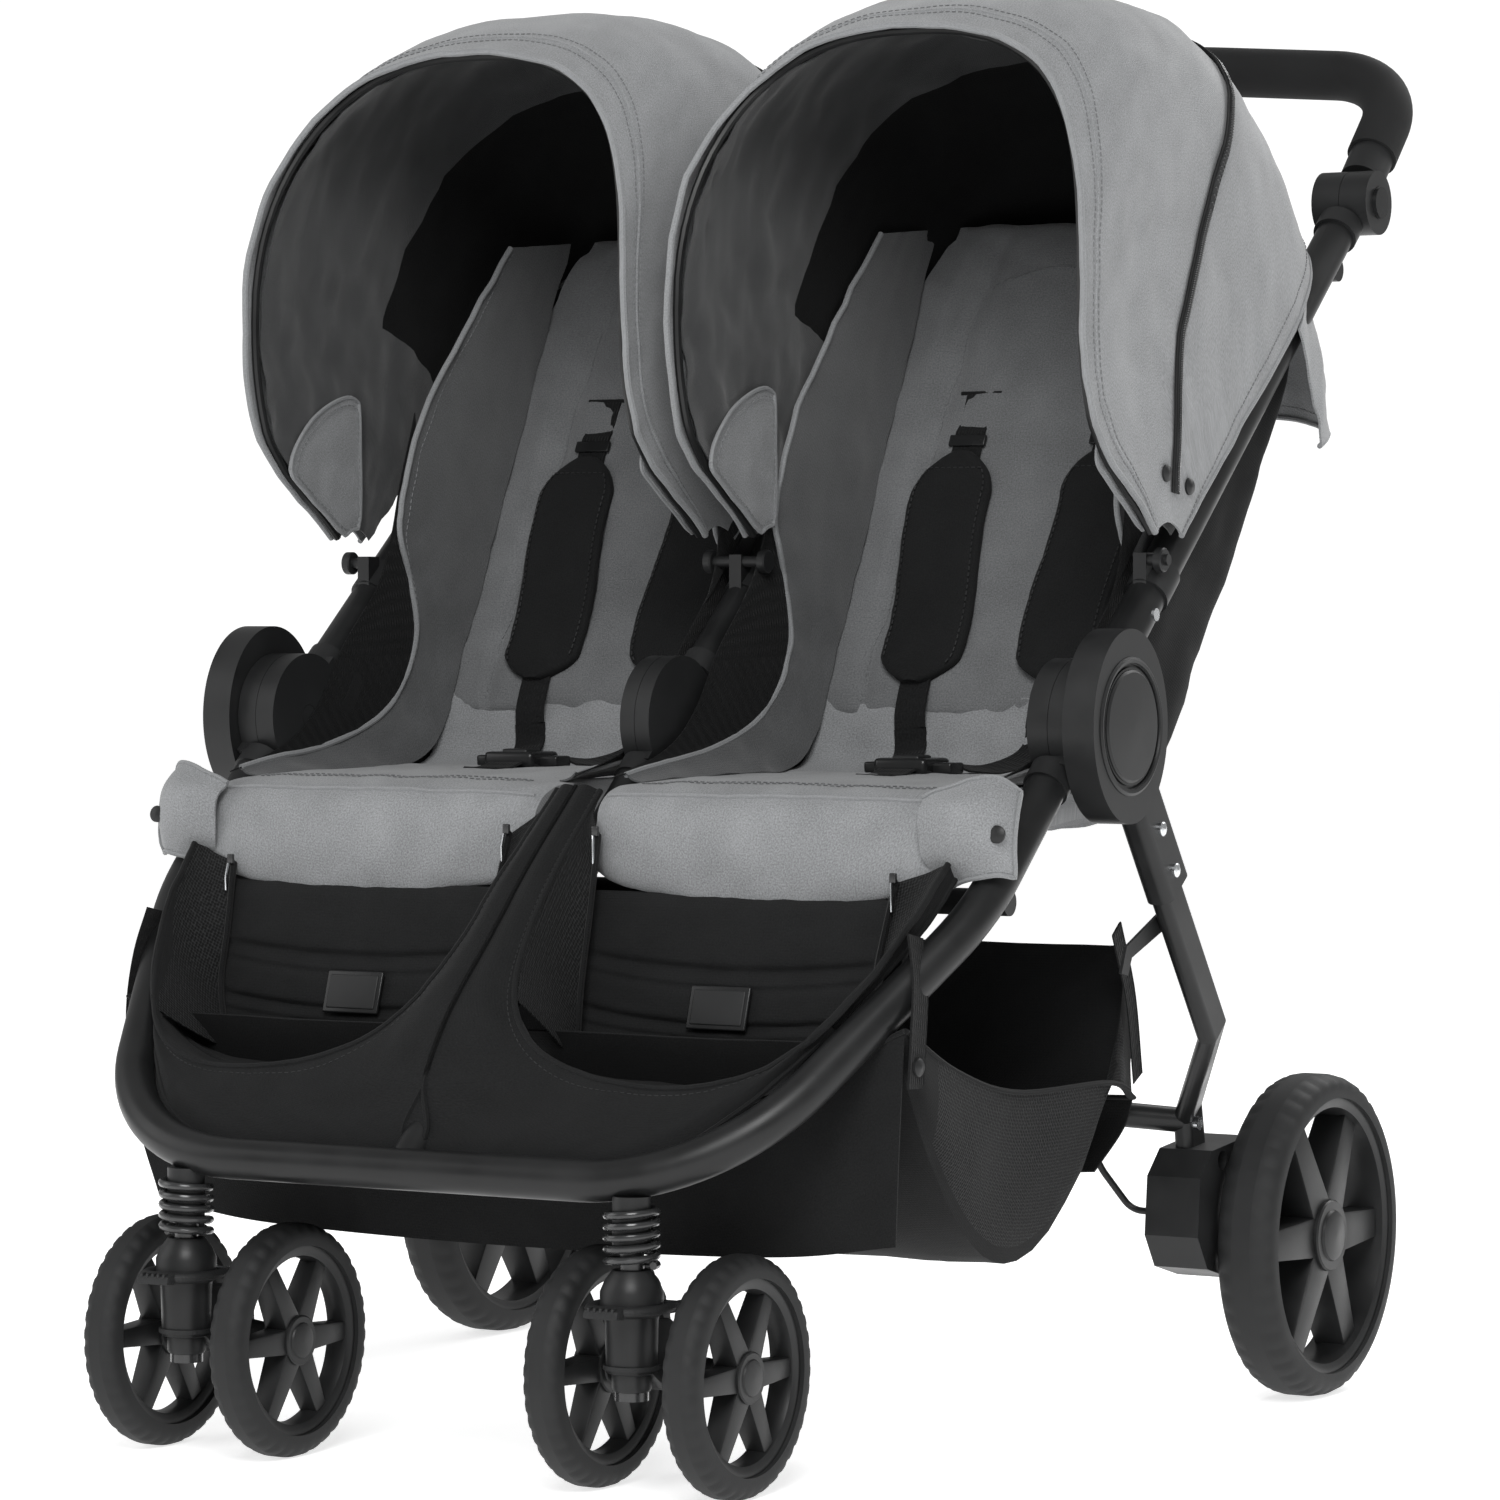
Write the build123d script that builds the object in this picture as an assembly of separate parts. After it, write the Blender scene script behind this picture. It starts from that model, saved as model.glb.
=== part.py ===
from build123d import *
import os
from math import atan2, cos, degrees, hypot, radians, sin

os.makedirs("parts", exist_ok=True)

# Side-by-side twin stroller with a folding frame.
# X is the width, with the two sides mirrored about x = 0. Y runs from front to rear and Z is up.
# The model is drawn with y = 0 at the front wheel axles and z = 0 on the floor, and is shifted along Y
# as it is written, so that the middle of its length is the origin.

# ---------------------------------------------------------------- driving dimensions (mm)
wheelbase = 610.0            # front axle to rear axle
front_wheel_r = 79.0
rear_wheel_r = 117.0
rear_wheel_x = 351.0         # centre plane of a rear wheel
rear_tyre_width = 44.0
front_tyre_width = 26.0
caster_x = 176.0             # swivel axis of a front caster
caster_trail = 45.0          # swivel axis ahead of the wheel axle
twin_offset = 52.0           # swivel axis to the centre plane of each twin wheel

frame_x = 325.0              # centre plane of the side tubes at the hinge
tube_r = 14.0
tube_wall = 1.5
center_tube_r = 12.0

hinge_y, hinge_z = 290.0, 493.0          # main fold axis, along X
handle_y, handle_z = 738.0, 874.0        # handle tilt axis
canopy_y, canopy_z = 388.0, 606.0        # canopy bow axis
crease_y, crease_z = 433.0, 455.0        # backrest recline axis
hub_r = 46.0
hub_depth = 15.3
pin_r = 8.0
running_gap = 0.3

front_bar_y, front_bar_z = -46.0, 205.0  # cross part of the front loop
seat_x = 163.0               # centre plane of a seat
seat_width = 278.0
seat_front_y, seat_rear_y = 150.0, 415.0
seat_top_z, seat_floor_z = 452.0, 418.0
cross_r = 9.0                # radius of the cross tubes

back_angle = 64.4            # backrest from the horizontal
back_height = 406.0
back_thickness = 30.0
guided_height = 330.0        # part of the backrest that fills the width between the tubes
back_foot_y, back_foot_z = 452.0, 494.0  # lower front edge of the backrest

canopy_x = 181.0             # centre plane of a canopy
canopy_width = 334.0
canopy_reach = 400.0         # bow axis to the outside of the fabric
canopy_corner_r = 105.0
canopy_from, canopy_to = 44.0, 105.0     # angles that the fabric spans, from +Y towards +Z
fabric = 2.5
bow_wire_r = 3.0

leg_x = 350.0                # centre plane of a rear leg at its top
leg_foot_x = 300.0
leg_thickness = 14.0
leg_width = 30.0
kink_y, kink_z = 448.0, 277.0
foot_y, foot_z = 513.0, 213.0
housing_x_in, housing_x_out = 284.0, 326.0

grip_r = 19.0
grip_bar_y, grip_bar_z = 842.0, 990.0

axle_r = 5.0
rear_axle_r = 6.0
stem_r = 8.0
suspension_travel = 10.0
stem_y = -caster_trail

lock_reach = 40.0             # swivel axis to the tip of the lock lever

origin_y = (grip_bar_y + grip_r + stem_y - lock_reach) / 2


# ---------------------------------------------------------------- small makers
def rod(start, end, radius):
    """Round bar between two points."""
    along = Vector(*end) - Vector(*start)
    return Solid.make_cylinder(radius, along.length, Plane(origin=start, z_dir=along))


def x_disc(x_start, x_end, y, z, radius):
    """Disc whose axis is along X."""
    return rod((x_start, y, z), (x_end, y, z), radius)


def slab(outline, x_start, x_end):
    """Side outline, as (y, z) points, drawn out along X."""
    face = make_face(Polyline(*[(x_start, y, z) for y, z in outline], close=True))
    return extrude(face, amount=x_end - x_start, dir=(1, 0, 0))


def tube(points, bends, radius, wall=0.0):
    """Bent round tube along straight runs joined by arcs."""
    path = FilletPolyline(*points, radius=bends) if bends else Line(points[0], points[1])
    section = Circle(radius) - Circle(radius - wall) if wall else Circle(radius)
    return sweep(Plane(origin=path @ 0, z_dir=path % 0) * section, path=path)


def both(shape):
    return [mirror(shape, about=Plane.YZ), shape]


def polar(y, z, angle, reach):
    """Point in the side view, at an angle from +Y towards +Z."""
    return y + reach * cos(radians(angle)), z + reach * sin(radians(angle))


def save(name, *solids):
    """Write one node. Each item stays a separate solid."""
    shift = Pos(0, -origin_y, 0)
    bodies = [shift * solid for item in solids for solid in item.solids()]
    node = bodies[0] if len(bodies) == 1 else Compound(children=bodies)
    export_step(node, f"parts/{name}.step")


def save_pair(name, *solids):
    """Write a right-hand node and its mirror image."""
    save(f"{name}_right", *solids)
    save(f"{name}_left", *[mirror(solid, about=Plane.YZ) for solid in solids])


# ---------------------------------------------------------------- front frame
push_angle = degrees(atan2(handle_z - hinge_z, handle_y - hinge_y))
front_angle = degrees(atan2(front_bar_z - hinge_z, front_bar_y - hinge_y))
tube_start = 50.0            # hinge axis to the end of each tube
socket_end = 64.0
socket_r = tube_r + 1.8
shoulder_reach = 185.0       # hinge to where the front loop starts to narrow
shoulder_bend, corner_bend = 220.0, 140.0
corner_x = 236.0             # where the lines of the side tube and the front bar meet
seat_bar_reach = 150.0

front_start = polar(hinge_y, hinge_z, front_angle, tube_start)
shoulder_point = polar(hinge_y, hinge_z, front_angle, shoulder_reach)


def mirrored(point):
    return (-point[0], point[1], point[2])


def front_loop(radius, wall=0.0):
    """Flat loop: side tubes in line with the push tubes, narrowing to the front bar."""
    side = [(frame_x, *front_start), (frame_x, *shoulder_point), (corner_x, front_bar_y, front_bar_z)]
    run = side + [mirrored(point) for point in reversed(side)]
    return tube(run, [shoulder_bend, corner_bend, corner_bend, shoulder_bend], radius, wall)


def front_tubes():
    save("front_frame_tube", front_loop(tube_r, tube_wall))

    # The centre tube lies in the plane of the loop and ends in a saddle on the front bar.
    center = tube([(0, *front_start), (0, front_bar_y, front_bar_z)], None, center_tube_r, tube_wall)
    center -= x_disc(-50, 50, front_bar_y, front_bar_z, tube_r)

    # The seat crossbar is fixed under the three tubes, below the front of the seats.
    slope = radians(front_angle)
    drop = tube_r + cross_r + running_gap
    on_tube = polar(hinge_y, hinge_z, front_angle, seat_bar_reach)
    bar_y, bar_z = on_tube[0] - drop * sin(slope), on_tube[1] + drop * cos(slope)
    bar = rod((-frame_x, bar_y, bar_z), (frame_x, bar_y, bar_z), cross_r)
    save("inner_frame_tubes", center, bar)
    return bar_y, bar_z


def hub(x_in, x_out, angle, middle_x, neck_r, bore_r):
    """Hinge disc with a socket that takes the end of a tube."""
    disc = x_disc(x_in, x_out, hinge_y, hinge_z, hub_r)
    web_start = polar(hinge_y, hinge_z, angle, hub_r - 14)
    socket_start = polar(hinge_y, hinge_z, angle, hub_r + 1.5)
    end = polar(hinge_y, hinge_z, angle, socket_end)
    along = Plane(
        origin=((x_in + x_out) / 2, *web_start),
        x_dir=(1, 0, 0),
        z_dir=(0, cos(radians(angle)), sin(radians(angle))),
    )
    web = along * Pos(0, 0, 10) * Box(x_out - x_in, 1.6 * neck_r, 20)
    neck = rod((middle_x, *socket_start), (middle_x, *end), neck_r)
    body = disc + web + neck
    tube_from = polar(hinge_y, hinge_z, angle, tube_start)
    body -= rod((middle_x, *tube_from), (middle_x, *polar(hinge_y, hinge_z, angle, 90)), bore_r)
    return body


def hinge_hubs():
    front_x = frame_x + 0.2
    push_x = frame_x - 0.2
    center_depth = center_tube_r - 0.2
    pin_bore = x_disc(-400, 400, hinge_y, hinge_z, pin_r)
    pin_clear = x_disc(-400, 400, hinge_y, hinge_z, pin_r + running_gap)
    front_side = hub(front_x, front_x + hub_depth, front_angle, frame_x, socket_r, tube_r) - pin_bore
    front_mid = hub(0.2, center_depth, front_angle, 0, center_tube_r + 1.8, center_tube_r) - pin_bore
    save("front_hinge_hubs", *both(front_side), front_mid)
    push_side = hub(push_x - hub_depth, push_x, push_angle, frame_x, socket_r, tube_r) - pin_clear
    push_mid = hub(-center_depth, -0.2, push_angle, 0, center_tube_r + 1.8, center_tube_r) - pin_clear
    save("push_hinge_hubs", *both(push_side), push_mid)
    side_pin = x_disc(push_x - hub_depth, cover_x_in + 8, hinge_y, hinge_z, pin_r)
    save("hinge_pins", *both(side_pin), x_disc(-center_depth, center_depth, hinge_y, hinge_z, pin_r))


# ---------------------------------------------------------------- casters
collar_r = stem_r + 4.5
spring_wire_r = 2.8
spring_r = collar_r + spring_wire_r + 0.7
dome_top_z = 150.0
lock_z = 131.0
body_bottom_z = 84.0
ring_bottom_z = 72.0
spring_top_z = front_bar_z - tube_r - 0.4
stem_top_z = front_bar_z - tube_r - suspension_travel - 1.0


def casters():
    bar_under = front_bar_z - tube_r
    socket = Pos(caster_x, stem_y, 0) * Cylinder(collar_r, 34, align=(Align.CENTER, Align.CENTER, Align.MAX))
    socket = Pos(0, 0, bar_under + 6) * socket
    socket -= front_loop(tube_r)
    bore_depth = 60
    stem_bore = Cylinder(stem_r + running_gap, bore_depth, align=(Align.CENTER, Align.CENTER, Align.MAX))
    socket -= Pos(caster_x, stem_y, bar_under) * stem_bore
    save("caster_sockets", *both(socket))

    height = spring_top_z - dome_top_z - 2 * spring_wire_r - 0.4
    coil = Helix(pitch=height / 4.5, height=height, radius=spring_r)
    wire = sweep(Plane(origin=coil @ 0, z_dir=coil % 0) * Circle(spring_wire_r), path=coil, is_frenet=True)
    spring = Pos(caster_x, stem_y, dome_top_z + spring_wire_r + 0.2) * wire
    save_pair("suspension_spring", spring)

    stem = rod((caster_x, stem_y, ring_bottom_z - 6), (caster_x, stem_y, stem_top_z), stem_r)
    stem += rod((caster_x, stem_y, ring_bottom_z - 6), (caster_x, stem_y, ring_bottom_z - 0.3), stem_r + 3)
    save_pair("caster_stem", stem)

    outline = Polyline(
        (0, ring_bottom_z), (13, ring_bottom_z), (13, body_bottom_z), (17, body_bottom_z), (17, lock_z - 9),
        (20, lock_z), (20, dome_top_z - 12), (14, dome_top_z - 3), (collar_r, dome_top_z), (0, dome_top_z),
        close=True)
    turned = revolve(make_face(Plane.XZ * outline), axis=Axis.Z)
    body = Pos(caster_x, stem_y, 0) * turned
    arm = slab([(stem_y, 118), (stem_y + 20, 116), (14, 90), (14, 68), (stem_y + 14, 74), (stem_y, 86)],
               caster_x - 15, caster_x + 15)
    half_boss = twin_offset - front_tyre_width / 2 - 1.2
    boss = x_disc(caster_x - half_boss, caster_x + half_boss, 0, front_wheel_r, 12)
    ears = x_disc(caster_x - lock_arm_x + 0.3, caster_x + lock_arm_x - 0.3, lock_pin_y, lock_pin_z, 6)
    body += arm + boss + ears
    body -= rod((caster_x, stem_y, 0), (caster_x, stem_y, 200), stem_r + running_gap)
    body -= x_disc(0, 400, 0, front_wheel_r, axle_r)
    body -= x_disc(0, 400, lock_pin_y, lock_pin_z, 2.5)
    half_axle = twin_offset + front_tyre_width / 2 - 1
    axle = x_disc(caster_x - half_axle, caster_x + half_axle, 0, front_wheel_r, axle_r)
    half_pin = lock_arm_x + 4
    lock_pin = x_disc(caster_x - half_pin, caster_x + half_pin, lock_pin_y, lock_pin_z, 2.5)
    save_pair("caster_body", body, axle, lock_pin)


lock_arm_x = 20.5
lock_pin_y, lock_pin_z = -24.0, 126.0


def swivel_locks():
    """Yoke round the caster body with a thumb tab in front."""
    inner_r = 21.5
    ring = Ellipse(lock_arm_x + 5, lock_reach) - Circle(inner_r)
    ring -= Pos(0, 60) * Rectangle(120, 120 - 2 * 8)
    yoke = extrude(ring, amount=5)
    arm = Pos(lock_arm_x + 2, 13, 2.5) * Box(4, 26, 5)
    parts = Pos(caster_x, stem_y, lock_pin_z - 2.5) * (yoke + arm + mirror(arm, about=Plane.YZ))
    for sign in (-1, 1):
        inner = caster_x + sign * lock_arm_x
        parts += x_disc(inner, inner + sign * 4, lock_pin_y, lock_pin_z, 5)
    parts -= x_disc(0, 400, lock_pin_y, lock_pin_z, 2.5 + running_gap)
    save_pair("swivel_lock", parts)


# ---------------------------------------------------------------- wheels
def tyre(x, y, z, radius, rim_r, width):
    half = width / 2
    crown = radius - rim_r
    outline = Polyline(
        (-half, rim_r), (half, rim_r), (half, rim_r + 0.35 * crown), (0.8 * half, rim_r + 0.75 * crown),
        (0.45 * half, radius), (-0.45 * half, radius), (-0.8 * half, rim_r + 0.75 * crown),
        (-half, rim_r + 0.35 * crown), close=True)
    ring = revolve(make_face(outline), axis=Axis.X)
    return Pos(x, y, z) * ring


def rim(x, y, z, rim_r, ring_depth, width, hub_wheel_r, hub_half, spoke_width, bore_r):
    """Wheel with six flat spokes."""
    ring = x_disc(-width / 2, width / 2, 0, 0, rim_r) - x_disc(-width, width, 0, 0, rim_r - ring_depth)
    wheel = ring + x_disc(-hub_half, hub_half, 0, 0, hub_wheel_r)
    spoke_length = rim_r - ring_depth + 2 - hub_wheel_r * 0.6
    spoke = Pos(0, 0, hub_wheel_r * 0.6 + spoke_length / 2) * Box(width * 0.55, spoke_width, spoke_length)
    for step in range(6):
        wheel += Rot(60 * step, 0, 0) * spoke
    wheel -= x_disc(-width, width, 0, 0, bore_r)
    return Pos(x, y, z) * wheel


def wheels():
    front_rim_r = front_wheel_r - 15
    for label, offset in (("inner", -twin_offset), ("outer", twin_offset)):
        place = (caster_x + offset, 0, front_wheel_r)
        rubber = tyre(*place, front_wheel_r, front_rim_r, front_tyre_width)
        core = rim(*place, front_rim_r, 6, front_tyre_width - 6, 15, front_tyre_width / 2, 14, axle_r + running_gap)
        save_pair(f"caster_wheel_{label}", rubber, core)
    rear_rim_r = rear_wheel_r - 17
    place = (rear_wheel_x, wheelbase, rear_wheel_r)
    save_pair("rear_tyre", tyre(*place, rear_wheel_r, rear_rim_r, rear_tyre_width))
    core = rim(*place, rear_rim_r, 8, rear_tyre_width - 8, 23, rear_tyre_width / 2 - 5, 22, rear_axle_r + running_gap)
    save_pair("rear_rim", core)


# ---------------------------------------------------------------- rear frame
cover_x_in, cover_x_out = frame_x + hub_depth + 1.0, 365.0
leg_angle = degrees(atan2(kink_z - hinge_z, kink_y - hinge_y))
leg_start = 62.0
shin_bottom = (leg_foot_x, 521.0, 168.0)


def leg_shape(grow=0.0):
    """Flat oval leg: straight from the hinge, turned inwards below the kink."""
    top = (leg_x, *polar(hinge_y, hinge_z, leg_angle, leg_start))
    stations = [top, (leg_x, kink_y, kink_z), (leg_foot_x, foot_y, foot_z), shin_bottom]
    sections = []
    for index, point in enumerate(stations):
        before = Vector(*stations[max(index - 1, 0)])
        after = Vector(*stations[min(index + 1, len(stations) - 1)])
        along = (after - before).normalized()
        side = (Vector(1, 0, 0) - along * along.X).normalized()
        plane = Plane(origin=point, x_dir=side, z_dir=along)
        outline = RectangleRounded(leg_thickness + 2 * grow, leg_width + 2 * grow, 6 + grow)
        sections.append(plane * outline)
    return loft(sections, ruled=True)


def rear_frame():
    leg = leg_shape() - leg_shape(-2.0)
    save_pair("rear_leg", leg)

    # Outer cover: one casting with the sleeve that holds the leg.
    oval = Plane(origin=(cover_x_in, hinge_y, hinge_z), x_dir=(0, 1, 0), z_dir=(1, 0, 0)) * Ellipse(56, 66)
    cover = extrude(oval, amount=cover_x_out - cover_x_in)
    sleeve_from = polar(hinge_y, hinge_z, leg_angle, 40)
    along = Plane(
        origin=(leg_x + 2, *sleeve_from),
        x_dir=(1, 0, 0),
        z_dir=(0, cos(radians(leg_angle)), sin(radians(leg_angle))),
    )
    sleeve = extrude(along * RectangleRounded(20, 38, 7), amount=100)
    cover += sleeve - slab([(200, 400), (400, 400), (400, 600), (200, 600)], 300, cover_x_in)
    cover -= x_disc(cover_x_in - 20, cover_x_in + 8.3, hinge_y, hinge_z, pin_r + running_gap)
    cover -= x_disc(cover_x_out - 2, cover_x_out + 5, hinge_y, hinge_z, 42) \
        - x_disc(cover_x_out - 2, cover_x_out + 5, hinge_y, hinge_z, 40)
    cover -= leg_shape()
    save_pair("hinge_cover", cover)

    # Rear crossbar, bowed forwards between the two leg feet.
    end = (leg_foot_x - 2, 508.0, 206.0)
    bow = (240.0, bar_rear_y, bar_rear_z)
    run = [end, bow, mirrored(bow), mirrored(end)]
    bar = tube(run, [60.0, 60.0], cross_r, tube_wall)
    for leg_side in both(leg_shape()):
        bar -= leg_side
    save("rear_crossbar", bar)

    outline = [(500, 186), (560, 192), (604, 160), (630, 130), (626, 100), (606, 94), (530, 92), (492, 102),
               (476, 126), (480, 168)]
    housing = slab(outline, housing_x_in, housing_x_out)
    housing -= leg_shape()
    foot_face = leg_foot_x + leg_thickness / 2
    housing -= x_disc(foot_face - 4, housing_x_out + 1, *foot_rivets[1], 7)
    housing -= x_disc(housing_x_in + 8, housing_x_out + 1, wheelbase, rear_wheel_r, rear_axle_r)
    axle = x_disc(housing_x_in + 8, rear_wheel_x + rear_tyre_width / 2 - 6, wheelbase, rear_wheel_r, rear_axle_r)
    save_pair("brake_housing", housing, axle)

    heads = [x_disc(foot_face - 3, foot_face + 3, y, z, 5) - leg_shape() for y, z in foot_rivets]
    screws = [x_disc(leg_x + 12.05, leg_x + 14, *polar(hinge_y, hinge_z, leg_angle, reach), 5) for reach in (88, 124)]
    rivet_pin = x_disc(leg_x - leg_thickness / 2 - 4.5, leg_x - leg_thickness / 2 - 0.05,
                       *polar(hinge_y, hinge_z, leg_angle, latch_reach), 2.8)
    rivets = []
    for item in (*heads, *screws):
        rivets += both(item)
    save("rear_rivets", *rivets, rivet_pin)


bar_rear_y, bar_rear_z = 470.0, 213.0
foot_rivets = [(512.0, 204.0), (516.0, 178.0)]
latch_reach = 168.0


def brake():
    """Linked brake cable, held along the rear crossbar, and the foot pedal."""
    cable_r = 2.5
    hug = (cross_r + cable_r + running_gap) / 2 ** 0.5
    line_y, line_z = bar_rear_y + hug, bar_rear_z - hug
    points = [
        (housing_x_in - 0.3, 500.0, 140.0),
        (262.0, 500.0, 140.0),
        (244.0, 490.0, 168.0),
        (228.0, line_y, line_z),
    ]
    run = points + [mirrored(point) for point in reversed(points)]
    radii = [16.0, 40.0, 24.0, 24.0, 40.0, 16.0]
    cable = tube(run, radii, cable_r)
    save("brake_cable", cable)
    arm_y = 560.0
    arm = slab([(arm_y - 8, 150), (arm_y + 8, 142), (arm_y + 70, 176), (arm_y + 66, 184), (arm_y, 164)],
               housing_x_in - 34, housing_x_in - 0.3)
    arm += x_disc(housing_x_in - 34, housing_x_in - 0.3, arm_y, 152, 11)
    save("brake_pedal", arm)


def fold_latch():
    """Hook on the right rear leg that holds the folded frame."""
    y, z = polar(hinge_y, hinge_z, leg_angle, latch_reach)
    x_out = leg_x - leg_thickness / 2 - 1.4
    x_in = x_out - 2.2
    hook = slab([(y + 5, z + 5), (y - 6, z + 5), (y - 58, z - 16), (y - 66, z - 34), (y - 56, z - 36),
                 (y - 50, z - 24), (y + 4, z - 6)], x_in, x_out)
    hook += x_disc(x_in, x_out, y, z, 8)
    hook -= x_disc(x_in - 1, x_out + 1, y, z, 2.8 + running_gap)
    save("fold_latch", hook)


# ---------------------------------------------------------------- push frame and handle
handle_reach = hypot(handle_y - hinge_y, handle_z - hinge_z)
joint_r = 24.0


def push_frame():
    start = polar(hinge_y, hinge_z, push_angle, tube_start)
    end = polar(hinge_y, hinge_z, push_angle, handle_reach - 30)
    side = tube([(frame_x, *start), (frame_x, *end)], None, tube_r, tube_wall)
    save_pair("push_tube", side)

    tilt = radians(push_angle)
    bar_at = polar(hinge_y, hinge_z, push_angle, handle_reach - 50)
    lift = tube_r + cross_r + running_gap
    bar_y, bar_z = bar_at[0] + lift * sin(tilt), bar_at[1] - lift * cos(tilt)
    bar = rod((-frame_x, bar_y, bar_z), (frame_x, bar_y, bar_z), cross_r)
    spine_end = polar(hinge_y, hinge_z, push_angle, handle_reach - 34)
    spine = tube([(0, *start), (0, *spine_end)], None, center_tube_r, tube_wall)
    save("push_inner_tubes", spine, bar)

    rivet_at = polar(hinge_y, hinge_z, push_angle, 116)
    rivet = x_disc(frame_x + tube_r - 0.6, frame_x + tube_r + 1.6, *rivet_at, 4.5)
    rivet -= rod((frame_x, *start), (frame_x, *end), tube_r)
    save("push_rivets", *both(rivet))


def canopy_clips():
    """Clips on the push tubes whose pegs carry the canopy bows."""
    along = (cos(radians(push_angle)), sin(radians(push_angle)))
    reach = (canopy_y - hinge_y) * along[0] + (canopy_z - hinge_z) * along[1]

    def clip(x, radius, pegs):
        ring_from = polar(hinge_y, hinge_z, push_angle, reach - 13)
        ring_to = polar(hinge_y, hinge_z, push_angle, reach + 13)
        body = rod((x, *ring_from), (x, *ring_to), radius + 2)
        body += Pos(x, canopy_y + 2, canopy_z - 8) * Box(10, 14, 26)
        for peg_start, peg_end in pegs:
            body += x_disc(peg_start, peg_end, canopy_y, canopy_z, 4)
        far_from = polar(hinge_y, hinge_z, push_angle, reach - 40)
        far_to = polar(hinge_y, hinge_z, push_angle, reach + 40)
        return body - rod((x, *far_from), (x, *far_to), radius)

    side = clip(frame_x, tube_r, [(frame_x, bow_x_out + 3)])
    middle = clip(0, center_tube_r, [(-bow_x_in - 3, bow_x_in + 3)])
    save("canopy_clips", *both(side), middle)


bow_half = canopy_width / 2 - fabric - bow_wire_r - running_gap
bow_x_out = canopy_x + bow_half
bow_x_in = canopy_x - bow_half


def canopy_plane(angle):
    turn = radians(angle)
    return Plane(origin=(canopy_x, canopy_y, canopy_z), x_dir=(1, 0, 0), z_dir=(0, -sin(turn), cos(turn)))


def canopies():
    """Fabric hood over each seat, and the wire bow in its front hem."""
    start_r = 26.0

    def hood(width, reach, corner_r, foot):
        block = Pos(0, (reach + foot) / 2) * Rectangle(width, reach - foot)
        return fillet(block.vertices().group_by(Axis.Y)[-1], corner_r)

    skin = hood(canopy_width, canopy_reach, canopy_corner_r, start_r)
    skin -= hood(canopy_width - 2 * fabric, canopy_reach - fabric, canopy_corner_r - fabric, start_r - 5)
    axis = Axis((canopy_x, canopy_y, canopy_z), (1, 0, 0))
    save_pair("canopy_fabric", revolve(canopy_plane(canopy_from) * skin, axis=axis,
                                       revolution_arc=canopy_to - canopy_from))

    bow_reach = canopy_reach - fabric - bow_wire_r - running_gap
    plane = canopy_plane(canopy_to - 1.5)
    corners = [(-bow_half, 7.0), (-bow_half, bow_reach), (bow_half, bow_reach), (bow_half, 7.0)]
    run = [tuple(plane.from_local_coords(Vector(x, r, 0))) for x, r in corners]
    bend = canopy_corner_r - fabric - bow_wire_r - running_gap
    wire = tube(run, [bend, bend], bow_wire_r)
    for x in (bow_x_in, bow_x_out):
        wire += x_disc(x - 2.6, x + 2.6, canopy_y, canopy_z, 8)
        wire -= x_disc(x - 6, x + 6, canopy_y, canopy_z, 4 + running_gap)
    save_pair("canopy_bow", wire)


def handle():
    """Tilting U handle: joint bases on the push tubes, heads, tube, foam grip and release buttons."""
    neck_r = tube_r + 2.5
    base = x_disc(frame_x - 22, frame_x - 0.2, handle_y, handle_z, joint_r)
    near = polar(handle_y, handle_z, push_angle + 180, joint_r + 1)
    far = polar(handle_y, handle_z, push_angle + 180, 40)
    base += rod((frame_x, *near), (frame_x, *far), neck_r)
    inside = polar(handle_y, handle_z, push_angle + 180, 6)
    base += rod((frame_x - 9, *inside), (frame_x - 9, *near), 8.5)
    seat = polar(handle_y, handle_z, push_angle + 180, 30)
    base -= rod((frame_x, *seat), (frame_x, *polar(handle_y, handle_z, push_angle + 180, 80)), tube_r)
    save("handle_bases", *both(base))

    bend = (frame_x, grip_bar_y - 4, grip_bar_z - 14)
    rise = degrees(atan2(bend[2] - handle_z, bend[1] - handle_y))
    head = x_disc(frame_x + 0.2, frame_x + 22, handle_y, handle_z, joint_r)
    near = polar(handle_y, handle_z, rise, joint_r + 1)
    head += rod((frame_x, *near), (frame_x, *polar(handle_y, handle_z, rise, 52)), neck_r)
    head += rod((frame_x + 9, *polar(handle_y, handle_z, rise, 6)), (frame_x + 9, *near), 8.5)
    tube_at = polar(handle_y, handle_z, rise, 30)
    head -= rod((frame_x, *tube_at), (frame_x, *polar(handle_y, handle_z, rise, 80)), tube_r)
    head -= x_disc(frame_x + 12, frame_x + 23, handle_y, handle_z, 12)
    save("handle_heads", *both(head))

    shoulder = (150.0, grip_bar_y, grip_bar_z)
    half = [(frame_x, *tube_at), bend, shoulder]
    run = half + [mirrored(point) for point in reversed(half)]
    bends = [62.0, 300.0, 300.0, 62.0]
    save("handle_tube", tube(run, bends, tube_r - 0.05, tube_wall))
    half[0] = (frame_x, *polar(handle_y, handle_z, rise, 52.3))
    run = half + [mirrored(point) for point in reversed(half)]
    foam = tube(run, bends, grip_r, grip_r - tube_r)
    save("handle_grip", foam)

    button = x_disc(frame_x + 17.5, frame_x + 25, handle_y, handle_z, 11.7)
    save_pair("handle_button", button)


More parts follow.
